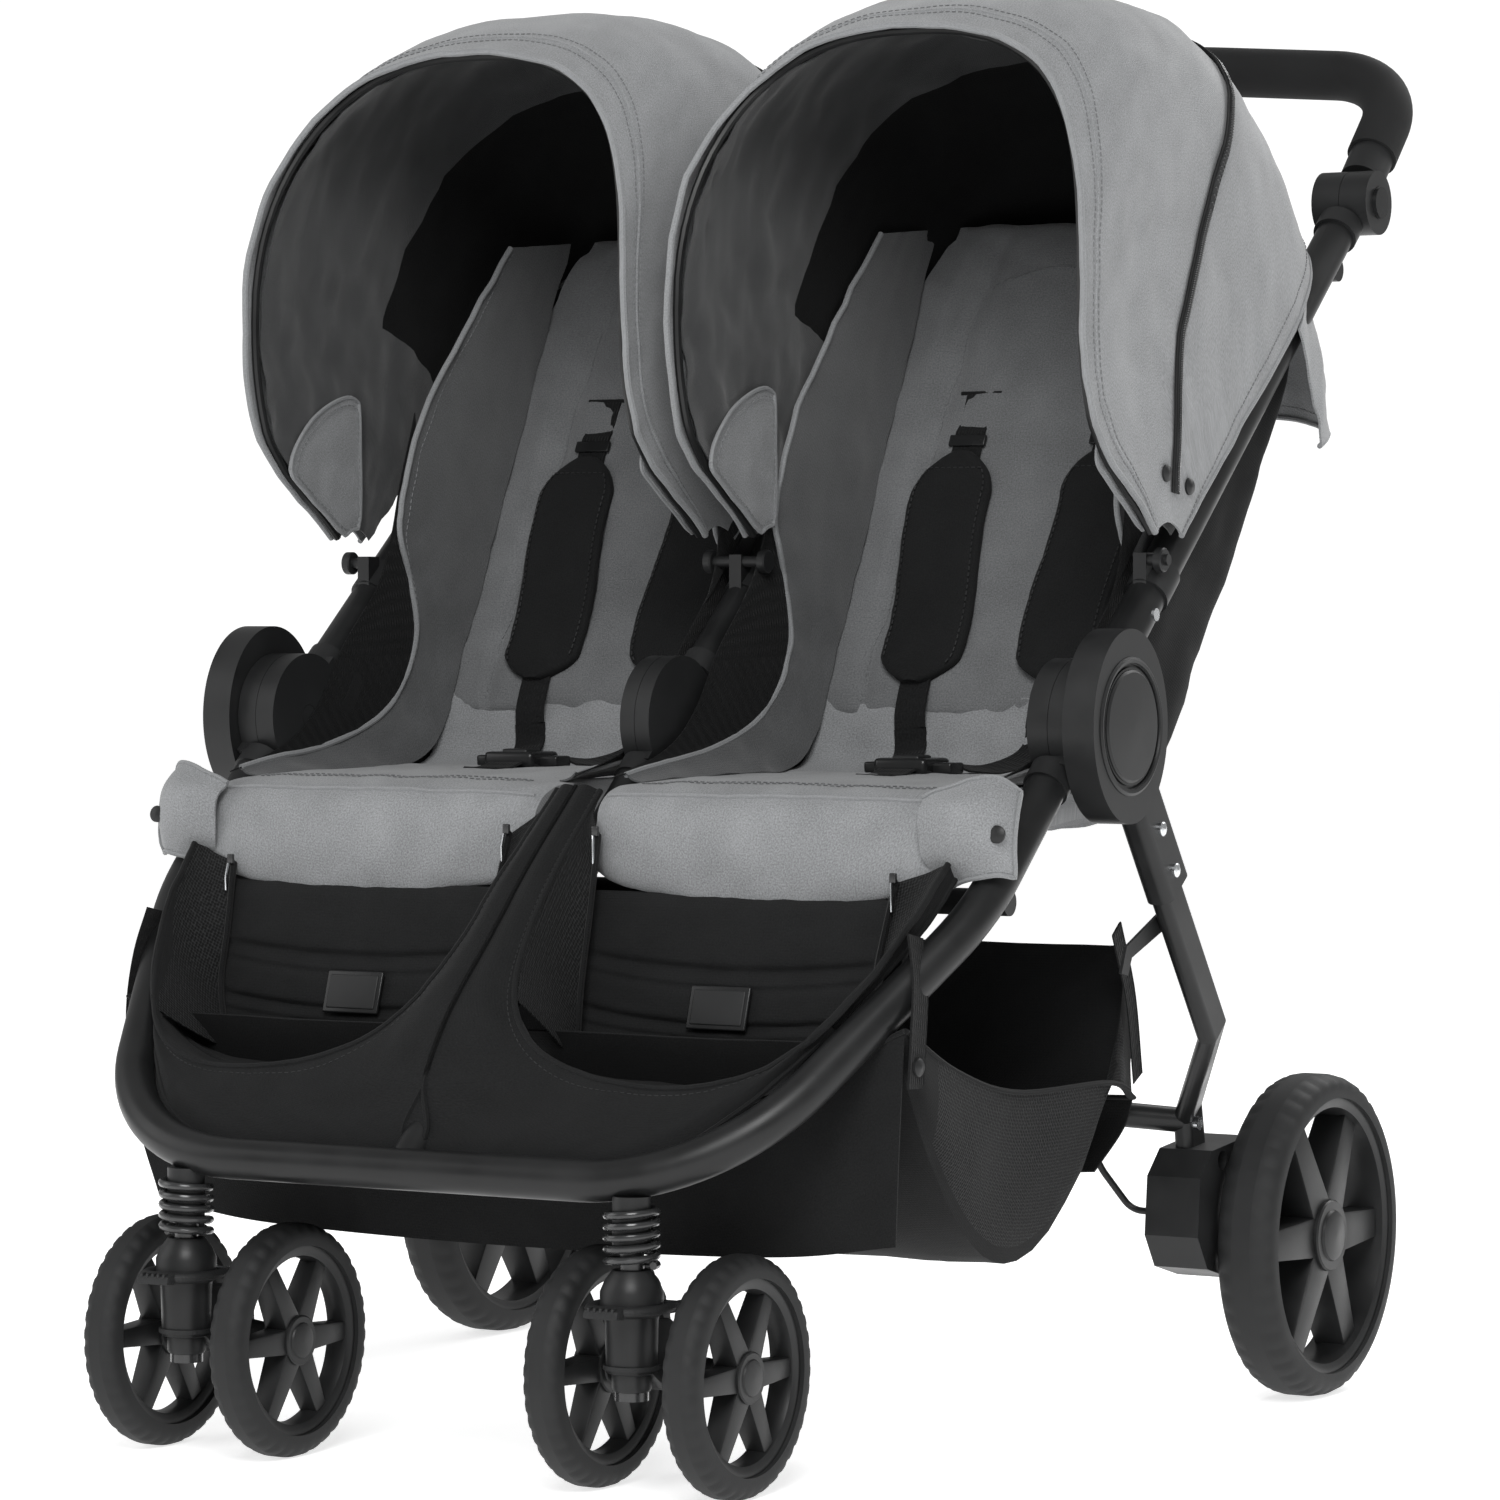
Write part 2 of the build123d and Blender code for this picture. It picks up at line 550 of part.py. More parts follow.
# ---------------------------------------------------------------- soft parts
def seats(bar_y, bar_z):
    half = seat_width / 2
    x_in, x_out = seat_x - half, seat_x + half
    rest_z = bar_z + cross_r + running_gap
    outline = [
        (seat_rear_y, seat_floor_z), (seat_rear_y, seat_top_z), (seat_front_y + 22, seat_top_z),
        (seat_front_y, seat_top_z - 14), (seat_front_y, rest_z - 8), (bar_y - cross_r - 2, rest_z - 8),
        (bar_y - cross_r - 2, rest_z), (bar_y + cross_r + 2, rest_z), (bar_y + 26, seat_floor_z)]
    save_pair("seat_pad", slab(outline, x_in, x_out))

    top_z = rest_z - 8.4
    calf = [(seat_front_y - 4, top_z), (seat_front_y + 9, top_z), (seat_front_y - 29, 258), (seat_front_y - 42, 258)]
    save_pair("calf_rest", slab(calf, seat_x - 138, seat_x + 115))

    tilt = radians(back_angle)
    up = (cos(tilt), sin(tilt))
    rear = (sin(tilt), -cos(tilt))

    def at(height, depth):
        return (back_foot_y + height * up[0] + depth * rear[0], back_foot_z + height * up[1] + depth * rear[1])

    middle = at(back_height / 2, 0)
    face = Plane(origin=(seat_x, *middle), x_dir=(1, 0, 0), z_dir=(0, *rear))
    panel = extrude(face * RectangleRounded(seat_width, back_height, 55), amount=back_thickness)
    # The lower part is wider and is guided between the middle tube and the side tube.
    guide_in = center_tube_r + running_gap
    guide_out = frame_x - tube_r - running_gap
    low = Plane(origin=((guide_in + guide_out) / 2, *at(guided_height / 2, 0)), x_dir=(1, 0, 0), z_dir=(0, *rear))
    panel += extrude(low * RectangleRounded(guide_out - guide_in, guided_height, 30), amount=back_thickness)
    save_pair("backrest", panel)
    pads = []
    for offset in (-55, 55):
        x = seat_x + offset
        pads.append(slab([at(20, -0.3), at(215, -0.3), at(215, -12), at(20, -12)], x - 27, x + 27))
    save_pair("harness", *pads)
    buckle = slab([(330, seat_top_z + 0.3), (372, seat_top_z + 0.3), (372, seat_top_z + 18),
                   (330, seat_top_z + 18)], seat_x - 22, seat_x + 22)
    save_pair("harness_buckle", buckle)


def footwell():
    """Fabric foot tray between the front bar and the calf rests."""
    edge_y = front_bar_y + tube_r + 0.35
    sheet = slab([(edge_y, 203), (24, 258), (100, 248), (100, 253), (22, 263.5), (edge_y, 208)], -262, 262)
    plan = Polyline((-262, 110), (-235, 30), (-190, -20), (-130, -60), (130, -60), (190, -20), (235, 30),
                    (262, 110), close=True)
    outline = extrude(make_face(plan), amount=400)
    spine = rod((0, *front_start), (0, front_bar_y, front_bar_z), center_tube_r + running_gap)
    save("footwell_cover", (sheet & outline) - spine - front_loop(tube_r + running_gap))


def basket():
    """Open fabric basket under the seats, hung from the front loop and the rear crossbar."""
    half = 285.0
    wall = 4.0
    rear_y = bar_rear_y - cross_r - running_gap
    front_y, floor_z, front_top_z = 85.0, 140.0, 242.0
    outer = slab([(front_y, 296), (front_y, floor_z), (270, floor_z), (rear_y, bar_rear_z), (rear_y, 228)],
                 -half, half)
    inner = slab([(front_y + wall, 330), (front_y + wall, floor_z + wall), (270, floor_z + wall),
                  (rear_y - wall, bar_rear_z + wall), (rear_y - wall, 300)], wall - half, half - wall)
    low_front = slab([(front_y - 1, front_top_z), (front_y + wall + 1, front_top_z),
                      (front_y + wall + 1, 330), (front_y - 1, 330)], wall - half, half - wall)
    save("basket", outer - inner - low_front)


seat_bar = front_tubes()
hinge_hubs()
casters()
swivel_locks()
wheels()
rear_frame()
brake()
fold_latch()
push_frame()
canopy_clips()
canopies()
handle()
seats(*seat_bar)
footwell()
basket()
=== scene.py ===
import math

import bmesh
import bpy
import numpy as np
from mathutils import Matrix, Vector, noise


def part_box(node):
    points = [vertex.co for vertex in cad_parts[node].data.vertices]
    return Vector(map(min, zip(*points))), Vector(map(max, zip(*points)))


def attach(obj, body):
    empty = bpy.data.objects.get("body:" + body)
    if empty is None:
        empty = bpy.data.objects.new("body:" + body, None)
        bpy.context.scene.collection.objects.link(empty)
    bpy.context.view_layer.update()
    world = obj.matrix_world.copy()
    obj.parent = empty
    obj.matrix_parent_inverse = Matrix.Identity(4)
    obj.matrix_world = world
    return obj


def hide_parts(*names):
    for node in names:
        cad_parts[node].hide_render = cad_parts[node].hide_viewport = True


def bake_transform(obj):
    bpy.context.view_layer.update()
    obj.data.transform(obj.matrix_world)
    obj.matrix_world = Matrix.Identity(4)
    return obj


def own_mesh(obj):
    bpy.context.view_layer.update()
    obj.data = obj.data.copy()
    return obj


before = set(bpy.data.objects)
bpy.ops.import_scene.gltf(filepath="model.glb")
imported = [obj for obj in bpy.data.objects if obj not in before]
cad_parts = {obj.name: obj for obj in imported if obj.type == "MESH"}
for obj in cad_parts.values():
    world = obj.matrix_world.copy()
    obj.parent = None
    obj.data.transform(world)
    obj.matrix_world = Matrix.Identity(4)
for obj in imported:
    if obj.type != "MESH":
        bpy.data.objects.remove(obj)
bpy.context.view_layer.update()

# Twin stroller: detailed soft goods, wheels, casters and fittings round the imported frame.
# Lengths are written in millimetres, with y measured back from the front wheel axles and z up from
# the floor, and become metres in the row frame when a mesh is made.
AXLE_Y = -(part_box("rear_rim_right")[0].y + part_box("rear_rim_right")[1].y) / 2 * 1000
WHEELBASE = 610.0
SHIFT_Y = AXLE_Y + WHEELBASE
SIDES = {"right": 1, "left": -1}

# ---------------------------------------------------------------- places on the frame
HINGE = (290.0, 493.0)
BOW_AXIS = (388.0, 606.0)
CANOPY_X, CANOPY_HALF = 181.0, 164.0
SEAT_X = 163.0
SEAT_IN, SEAT_OUT = 24.0, 302.0
SEAT_TOP = 452.0
BACK_FOOT = (452.0, 494.0)
BACK_ANGLE = math.radians(64.4)
STEM_Y, CASTER_X = -45.0, 176.0


def metres(points):
    """Row-frame metres of points in the script's millimetres."""
    p = np.asarray(points, float).copy()
    p[..., 1] -= SHIFT_Y
    return p / 1000


def spot(x, y, z):
    return Vector(metres([x, y, z]))


# ---------------------------------------------------------------- mesh makers
def spline(points, count):
    """Values along a smooth curve through the points, along the first axis."""
    p = np.asarray(points, float)
    ends = np.concatenate([[2 * p[0] - p[1]], p, [2 * p[-1] - p[-2]]])
    s = np.linspace(0, len(p) - 1, count)
    i = np.minimum(s.astype(int), len(p) - 2)
    f = (s - i).reshape((-1,) + (1,) * (p.ndim - 1))
    a, b, c, d = (ends[i + k] for k in range(4))
    bend = 2 * a - 5 * b + 4 * c - d
    twist = 3 * b - a - 3 * c + d
    return 0.5 * (2 * b + (c - a) * f + bend * f ** 2 + twist * f ** 3)


def patch(rows, nv, nu):
    """Smooth grid of nv by nu points through rows of control points."""
    fine = np.array([spline(row, nu) for row in rows])
    return spline(fine, nv)


def normals(grid):
    """Unit normal at each point of a grid."""
    along_v, along_u = np.gradient(grid, axis=0), np.gradient(grid, axis=1)
    n = np.cross(along_u, along_v)
    return n / np.maximum(np.linalg.norm(n, axis=-1, keepdims=True), 1e-9)


def wrinkled(grid, amount, size, seed=0.0, fade=None):
    """The grid pushed along its normals by smooth noise."""
    n = normals(grid)
    shift = np.zeros(grid.shape[:2])
    for i in range(grid.shape[0]):
        for j in range(grid.shape[1]):
            x, y, z = grid[i, j] / size
            shift[i, j] = noise.fractal(Vector((x + seed, y, z)), 0.8, 2.0, 3)
    if fade is not None:
        shift *= fade
    return grid + n * (amount * shift)[..., None]


def lengths(grid):
    """Distance along each row and each column of a grid."""
    u = np.linalg.norm(np.diff(grid, axis=1), axis=-1)
    v = np.linalg.norm(np.diff(grid, axis=0), axis=-1)
    return np.pad(np.cumsum(u, 1), ((0, 0), (1, 0))), np.pad(np.cumsum(v, 0), ((1, 0), (0, 0)))


def sheet_part(grid, material, thick=1.2, pick=None):
    """Thin closed skin over a grid. pick(i, j) may name another material for a face."""
    nv, nu = grid.shape[:2]
    u, v = lengths(grid)
    uv = np.stack([u, v], -1).reshape(-1, 2) / 1000
    back = grid - normals(grid) * thick
    points = np.concatenate([grid.reshape(-1, 3), back.reshape(-1, 3)])
    k = np.arange(nv * nu).reshape(nv, nu)
    top = np.stack([k[:-1, :-1], k[:-1, 1:], k[1:, 1:], k[1:, :-1]], -1).reshape(-1, 4)
    low = top[:, ::-1] + nv * nu
    rim = [k[0, :], k[:, -1], k[-1, ::-1], k[::-1, 0]]
    walls = [(e[i + 1], e[i], e[i] + nv * nu, e[i + 1] + nv * nu) for e in rim for i in range(len(e) - 1)]
    mats = [pick(i, j) if pick else material for i in range(nv - 1) for j in range(nu - 1)]
    return {"v": points, "f": [*map(tuple, top), *map(tuple, low), *walls], "uv": np.concatenate([uv, uv]),
            "m": mats * 2 + [material] * len(walls)}


def closed_part(grid, material, caps=True):
    """Solid whose rows are closed rings, with flat ends."""
    nv, nu = grid.shape[:2]
    loop = np.concatenate([grid, grid[:, :1]], 1)
    u, v = lengths(loop)
    uv = np.stack([u, v], -1).reshape(-1, 2) / 1000
    nu += 1
    k = np.arange(nv * nu).reshape(nv, nu)
    f = np.stack([k[:-1, :-1], k[:-1, 1:], k[1:, 1:], k[1:, :-1]], -1).reshape(-1, 4)
    faces = list(map(tuple, f))
    if caps:
        faces += [tuple(k[0, ::-1][:-1]), tuple(k[-1, :-1])]
    return {"v": loop.reshape(-1, 3), "f": faces, "uv": uv, "m": [material] * len(faces)}


def frames(points, up=None):
    """Side and normal directions along a line, turned as little as possible."""
    t = np.gradient(points, axis=0)
    t /= np.maximum(np.linalg.norm(t, axis=1, keepdims=True), 1e-9)
    start = np.array(up if up is not None else (0.0, 0.0, 1.0))
    if abs(start @ t[0]) > 0.95:
        start = np.array((1.0, 0.0, 0.0))
    n = [start - t[0] * (start @ t[0])]
    for k in range(1, len(t)):
        n.append(n[-1] - t[k] * (n[-1] @ t[k]))
    n = np.array([x / max(np.linalg.norm(x), 1e-9) for x in n])
    return np.cross(t, n), n


def tube_part(points, radius, material, sides=8, up=None, flat=1.0):
    """Round or flattened bar along points. radius may differ from point to point."""
    p = np.asarray(points, float)
    side, n = frames(p, up)
    r = np.broadcast_to(np.asarray(radius, float), (len(p),))[:, None, None]
    a = np.linspace(0, 2 * math.pi, sides, endpoint=False)
    ring = side[:, None] * np.cos(a)[None, :, None] + n[:, None] * (flat * np.sin(a))[None, :, None]
    return closed_part(p[:, None] + r * ring, material)


def stitches(points, material, pitch=5.0, radius=0.45, share=0.6):
    """Row of short raised threads along a line."""
    p = np.asarray(points, float)
    run = np.concatenate([[0], np.cumsum(np.linalg.norm(np.diff(p, axis=0), axis=1))])
    parts = []
    for k in range(int(run[-1] // pitch)):
        s = np.array([k, k + share / 2, k + share]) * pitch
        line = np.stack([np.interp(s, run, p[:, c]) for c in range(3)], 1)
        parts.append(tube_part(line, radius, material, sides=4))
    return parts


def ribbon_part(points, up, width, thick, material, taper=None):
    """Flat webbing along points, with slightly thicker edges."""
    p = np.asarray(points, float)
    side, n = frames(p, up)
    half = width / 2 * (np.ones(len(p)) if taper is None else np.asarray(taper))
    across = np.array([-1, -0.92, -0.8, 0, 0.8, 0.92, 1, 0.8, 0, -0.8])
    lift = np.array([0, 0.6, 0.42, 0.45, 0.42, 0.6, 0, -0.42, -0.45, -0.42]) * thick
    grid = p[:, None] + side[:, None] * (half[:, None, None] * across[None, :, None])
    return closed_part(grid + n[:, None] * lift[None, :, None], material)


def lathe_part(profile, centre, material, axis="x", steps=64, notch=None):
    """Turned ring. profile is (along the axis, radius) points, closed. notch(angle, k) lowers a radius."""
    a = np.linspace(0, 2 * math.pi, steps, endpoint=False)
    prof = np.asarray(profile, float)
    r = np.repeat(prof[None, :, 1], steps, 0)
    if notch:
        r = r - np.array([[notch(x, k) for k in range(len(prof))] for x in a])
    w = np.repeat(prof[None, :, 0], steps, 0)
    c, s = np.cos(a)[:, None], np.sin(a)[:, None]
    grid = np.stack([w, r * c, r * s] if axis == "x" else [r * c, r * s, w], -1) + np.asarray(centre, float)
    grid = np.concatenate([grid, grid[:1]], 0)
    return closed_part(grid, material, caps=False)


def bm_part(bm, material):
    """Part from a bmesh, which is freed."""
    bm.verts.index_update()
    v = np.array([x.co for x in bm.verts])
    f = [tuple(x.index for x in face.verts) for face in bm.faces]
    bm.free()
    return {"v": v, "f": f, "uv": v[:, 1:] / 1000, "m": [material] * len(f)}


def slab_part(outline, x0, x1, material, bevel=1.5):
    """Side outline, as (y, z), drawn out along X with rounded edges."""
    bm = bmesh.new()
    face = bm.faces.new([bm.verts.new((x0, y, z)) for y, z in outline])
    grown = bmesh.ops.extrude_face_region(bm, geom=[face])
    bmesh.ops.translate(bm, verts=[g for g in grown["geom"] if isinstance(g, bmesh.types.BMVert)],
                        vec=(x1 - x0, 0, 0))
    bmesh.ops.recalc_face_normals(bm, faces=bm.faces)
    bmesh.ops.bevel(bm, geom=bm.edges[:], offset=bevel, segments=2, profile=0.6, affect="EDGES")
    return bm_part(bm, material)


def box_part(centre, size, material, bevel=2.0, turn=0.0):
    """Rounded box, turned about X."""
    bm = bmesh.new()
    bmesh.ops.create_cube(bm, size=1.0, matrix=Matrix.Diagonal((*size, 1)))
    bmesh.ops.bevel(bm, geom=bm.edges[:], offset=bevel, segments=3, profile=0.6, affect="EDGES")
    move = Matrix.Translation(Vector(centre)) @ Matrix.Rotation(turn, 4, "X")
    bmesh.ops.transform(bm, matrix=move, verts=bm.verts)
    return bm_part(bm, material)


def disc_part(x0, x1, y, z, radius, material, dome=0.0, axis="x", edge=1.0):
    """Button or boss from x0 to x1, with a rounded rim and a domed face."""
    way = math.copysign(1, x1 - x0)
    prof = [(x0, 0.01), (x0, radius), (x1 - way * edge, radius), (x1, radius - edge), (x1 + way * dome, 0.01)]
    centre = (0, y, z) if axis == "x" else (y, z, 0)
    return lathe_part(prof, centre, material, axis=axis, steps=32)


def flip(part):
    """Mirror image about x = 0."""
    v = part["v"] * np.array([-1, 1, 1])
    return {**part, "v": v, "f": [f[::-1] for f in part["f"]]}


def sided(parts, side):
    """Parts made for the right side, mirrored for the left one."""
    return parts if side > 0 else [flip(p) for p in parts]


def make(name, parts, body=None, sharp=40.0):
    """One object from parts, riding a body."""
    parts = parts if isinstance(parts, list) else [parts]
    base, verts, faces, uvs, mats = 0, [], [], [], []
    for part in parts:
        verts.append(part["v"])
        uvs.append(part["uv"])
        faces += [tuple(int(i) + base for i in f) for f in part["f"]]
        mats += part["m"]
        base += len(part["v"])
    mesh = bpy.data.meshes.new(name)
    mesh.from_pydata(metres(np.concatenate(verts)).tolist(), [], faces)
    used = list(dict.fromkeys(mats))
    for material in used:
        mesh.materials.append(material)
    mesh.polygons.foreach_set("material_index", [used.index(m) for m in mats])
    uv = np.concatenate(uvs)
    corner = np.zeros(len(mesh.loops), np.int32)
    mesh.loops.foreach_get("vertex_index", corner)
    mesh.uv_layers.new(name="UVMap").data.foreach_set("uv", uv[corner].astype(np.float32).ravel())
    mesh.shade_smooth()
    mesh.set_sharp_from_angle(angle=math.radians(sharp))
    mesh.validate()
    obj = bpy.data.objects.new(name, mesh)
    bpy.context.scene.collection.objects.link(obj)
    if body:
        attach(obj, body)
    return obj


def cut_size(grid):
    """Flat width, length and area of a sheet, in metres."""
    u, v = lengths(grid)
    a, b = np.diff(grid, axis=1)[:-1], np.diff(grid, axis=0)[:, :-1]
    area = np.linalg.norm(np.cross(a, b), axis=-1).sum() / 1e6
    w, h = float(u[:, -1].mean()) / 1000, float(v[-1].mean()) / 1000
    return (w, h), min(float(area), w * h)


def cloth(obj, grid):
    """Work out the flat size and area of a sheet cut to its grid; the results are not kept, and the piece is
    returned unchanged.
    """
    flat, area = cut_size(grid)
    return obj


# ---------------------------------------------------------------- materials
CLOTH_SHINE = 0.12
PLASTIC_SHINE = 0.3


def shader(name, **values):
    """New material, its tree and its surface node with the values set."""
    m = bpy.data.materials.new(name)
    m.use_nodes = True
    tree = m.node_tree
    out = tree.nodes["Principled BSDF"]
    for key, value in values.items():
        out.inputs[key.replace("_", " ")].default_value = value
    return m, tree, out


def node(tree, kind, inputs=None, **settings):
    """New shader node with its inputs linked or set."""
    n = tree.nodes.new(kind)
    for key, value in settings.items():
        setattr(n, key, value)
    for key, value in (inputs or {}).items():
        if isinstance(value, bpy.types.NodeSocket):
            tree.links.new(value, n.inputs[key])
        else:
            n.inputs[key].default_value = value
    return n


def mix(tree, factor, low, high):
    """Colour between low and high, chosen by a noise value."""
    ramp = node(tree, "ShaderNodeValToRGB", {"Fac": factor})
    ramp.color_ramp.elements[0].position, ramp.color_ramp.elements[1].position = 0.3, 0.7
    ramp.color_ramp.elements[0].color = (*low, 1)
    ramp.color_ramp.elements[1].color = (*high, 1)
    return ramp.outputs["Color"]


def woven(name, dark, light, threads=900.0, bump=0.25, sheen=0.25, rough=0.85, ribs=False):
    """Woven cloth: crossing threads, mottled yarn and soft sheen. threads is per metre."""
    m, tree, out = shader(name, Roughness=rough, Sheen_Weight=sheen, Sheen_Roughness=0.5,
                          Specular_IOR_Level=CLOTH_SHINE)
    uv = node(tree, "ShaderNodeTexCoord").outputs["UV"]
    spots = node(tree, "ShaderNodeTexNoise", {"Vector": uv, "Scale": threads * 0.9, "Detail": 3.0})
    cloud = node(tree, "ShaderNodeTexNoise", {"Vector": uv, "Scale": 26.0, "Detail": 4.0})
    both = node(tree, "ShaderNodeMath", {0: spots.outputs[0], 1: 0.75}, operation="MULTIPLY")
    part = node(tree, "ShaderNodeMath", {0: cloud.outputs[0], 1: 0.25}, operation="MULTIPLY")
    total = node(tree, "ShaderNodeMath", {0: both.outputs[0], 1: part.outputs[0]}, operation="ADD")
    tree.links.new(mix(tree, total.outputs[0], dark, light), out.inputs["Base Color"])
    warp = node(tree, "ShaderNodeTexWave", {"Vector": uv, "Scale": threads / 6, "Distortion": 0.4},
                bands_direction="X")
    weft_scale = threads / (20 if ribs else 6)
    weft = node(tree, "ShaderNodeTexWave", {"Vector": uv, "Scale": weft_scale, "Distortion": 0.4},
                bands_direction="Y")
    weave = node(tree, "ShaderNodeMath", {0: warp.outputs["Fac"], 1: weft.outputs["Fac"]},
                 operation="MAXIMUM" if not ribs else "MULTIPLY")
    grain = node(tree, "ShaderNodeMath", {0: weave.outputs[0], 1: spots.outputs[0]}, operation="ADD")
    lift = node(tree, "ShaderNodeBump", {"Height": grain.outputs[0], "Strength": bump, "Distance": 0.0006})
    tree.links.new(lift.outputs[0], out.inputs["Normal"])
    return m


def netted(name, dark, light, cells=420.0, bump=0.8):
    """Open honeycomb mesh cloth: round cells between raised threads."""
    m, tree, out = shader(name, Roughness=0.7, Sheen_Weight=0.04, Specular_IOR_Level=CLOTH_SHINE)
    uv = node(tree, "ShaderNodeTexCoord").outputs["UV"]
    cell = node(tree, "ShaderNodeTexVoronoi", {"Vector": uv, "Scale": cells, "Randomness": 0.25})
    tree.links.new(mix(tree, cell.outputs["Distance"], dark, light), out.inputs["Base Color"])
    lift = node(tree, "ShaderNodeBump",
                {"Height": cell.outputs["Distance"], "Strength": bump, "Distance": 0.0012})
    tree.links.new(lift.outputs[0], out.inputs["Normal"])
    return m


def moulded(name, dark, light, rough=0.45, grain=1500.0, bump=0.12, metal=0.0, coat=0.0,
            shine=PLASTIC_SHINE):
    """Moulded plastic, rubber, paint or metal with a fine grain and faint handling marks."""
    m, tree, out = shader(name, Metallic=metal, Coat_Weight=coat, Coat_Roughness=0.25,
                          Specular_IOR_Level=shine)
    where = node(tree, "ShaderNodeTexCoord").outputs["Object"]
    fine = node(tree, "ShaderNodeTexNoise", {"Vector": where, "Scale": grain, "Detail": 2.0})
    wear = node(tree, "ShaderNodeTexNoise", {"Vector": where, "Scale": 24.0, "Detail": 6.0})
    tree.links.new(mix(tree, wear.outputs[0], dark, light), out.inputs["Base Color"])
    ramp = node(tree, "ShaderNodeMapRange", {"Value": wear.outputs[0], "From Min": 0.3, "From Max": 0.7,
                                             "To Min": rough - 0.06, "To Max": rough + 0.08})
    tree.links.new(ramp.outputs[0], out.inputs["Roughness"])
    lift = node(tree, "ShaderNodeBump", {"Height": fine.outputs[0], "Strength": bump, "Distance": 0.0004})
    tree.links.new(lift.outputs[0], out.inputs["Normal"])
    return m


def grey(value, blue=1.05):
    """Slightly blue grey."""
    return (value, value * (1 + blue) / 2, value * blue)


GREY = woven("grey melange", grey(0.13), grey(0.30))
# Seat back grey: a darker copy of the grey melange, darkened with painted shade because the back sits in
# shadow.
SEAT_SHADE_GREY = woven("seat grey melange with painted shade", grey(0.08), grey(0.18))
# Cheek grey: the grey melange darkened further with painted shade, for the wings in shadow.
CHEEK_SHADE_GREY = woven("shaded grey melange", grey(0.05), grey(0.115))
# Lining grey darkened with painted shade for the inside of the hood.
LINING_SHADE_GREY = woven("grey lining with painted shade", grey(0.022), grey(0.055), threads=1200.0)
BLACK = woven("black cloth", grey(0.006), grey(0.015), sheen=0.04)
INNER = woven("black lining", grey(0.004), grey(0.009), sheen=0.02)
NET = netted("black mesh", grey(0.004), grey(0.028))
RIBBED = woven("ribbed mesh", grey(0.003), grey(0.014), sheen=0.04, threads=600.0, bump=0.9, ribs=True)
WEBBING = woven("webbing", grey(0.005), grey(0.014), sheen=0.05, threads=700.0, bump=0.9, ribs=True)
THREAD = moulded("grey thread", grey(0.12), grey(0.18), rough=0.7)
DARK_THREAD = moulded("black thread", grey(0.014), grey(0.03), rough=0.7)
PIPING = woven("black piping", grey(0.006), grey(0.014), sheen=0.05)
GREY_PIPING = woven("grey piping", grey(0.16), grey(0.26))
FRAME = moulded("black anodised tube", grey(0.008), grey(0.013), rough=0.36, bump=0.05)
HUB = moulded("satin black moulding", grey(0.011), grey(0.018), rough=0.42)
RIM = moulded("wheel moulding", grey(0.010), grey(0.017), rough=0.38)
TYRE = moulded("tyre rubber", grey(0.012), grey(0.020), rough=0.62, bump=0.3)
FOAM = moulded("foam grip", grey(0.007), grey(0.013), rough=0.85, grain=2600.0, bump=0.6)
GRAINED = moulded("grained plastic", grey(0.012), grey(0.020), rough=0.55, grain=700.0, bump=0.9)
BUCKLE = moulded("gloss plastic", grey(0.010), grey(0.016), rough=0.22, bump=0.05)
STEEL = moulded("bright steel", grey(0.62), grey(0.75), rough=0.22, metal=1.0, bump=0.05, shine=0.5)
SPRING = moulded("black spring steel", grey(0.018), grey(0.028), rough=0.22, bump=0.05, coat=0.6)
CABLE = moulded("cable jacket", grey(0.012), grey(0.018), rough=0.35, bump=0.05)
FLOOR = moulded("studio floor", (0.86, 0.86, 0.86), (0.88, 0.88, 0.88), rough=0.6)

CAD_LOOKS = {
    "front_frame_tube": FRAME, "inner_frame_tubes": FRAME, "front_hinge_hubs": HUB, "push_hinge_hubs": HUB,
    "hinge_pins": HUB, "caster_sockets": HUB, "rear_leg": FRAME, "hinge_cover": HUB, "rear_crossbar": FRAME,
    "brake_housing": HUB, "rear_rivets": STEEL, "brake_cable": CABLE, "brake_pedal": HUB, "fold_latch": HUB,
    "push_tube": FRAME, "push_inner_tubes": FRAME, "push_rivets": STEEL, "canopy_clips": HUB,
    "canopy_bow": FRAME, "handle_bases": HUB, "handle_heads": HUB, "handle_tube": FRAME, "handle_grip": FOAM,
    "handle_button": BUCKLE, "caster_stem": SPRING,
}
for name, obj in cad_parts.items():
    look = CAD_LOOKS.get(name) or CAD_LOOKS.get(name.rsplit("_", 1)[0])
    if look:
        obj.data.materials.clear()
        obj.data.materials.append(look)


# ---------------------------------------------------------------- canopies
# Side view of the hood round the bow axis: FRONT_EDGE is (distance, angle), REACH is (angle, distance).
EDGE_SPAN = 380
FRONT_EDGE = [(0, 128), (38, 137), (75, 142), (110, 143.5), (145, 141), (180, 134), (215, 127), (252, 120.5),
              (285, 115), (320, 109.5), (350, 105.5), (385, 102)]
REAR_ANGLE = 38.5
TAIL_ANGLE = 18.0
REACH = [(18, 360), (30, 384), (38.5, 396), (55, 411), (73, 419), (88, 404), (102, 378), (150, 370)]


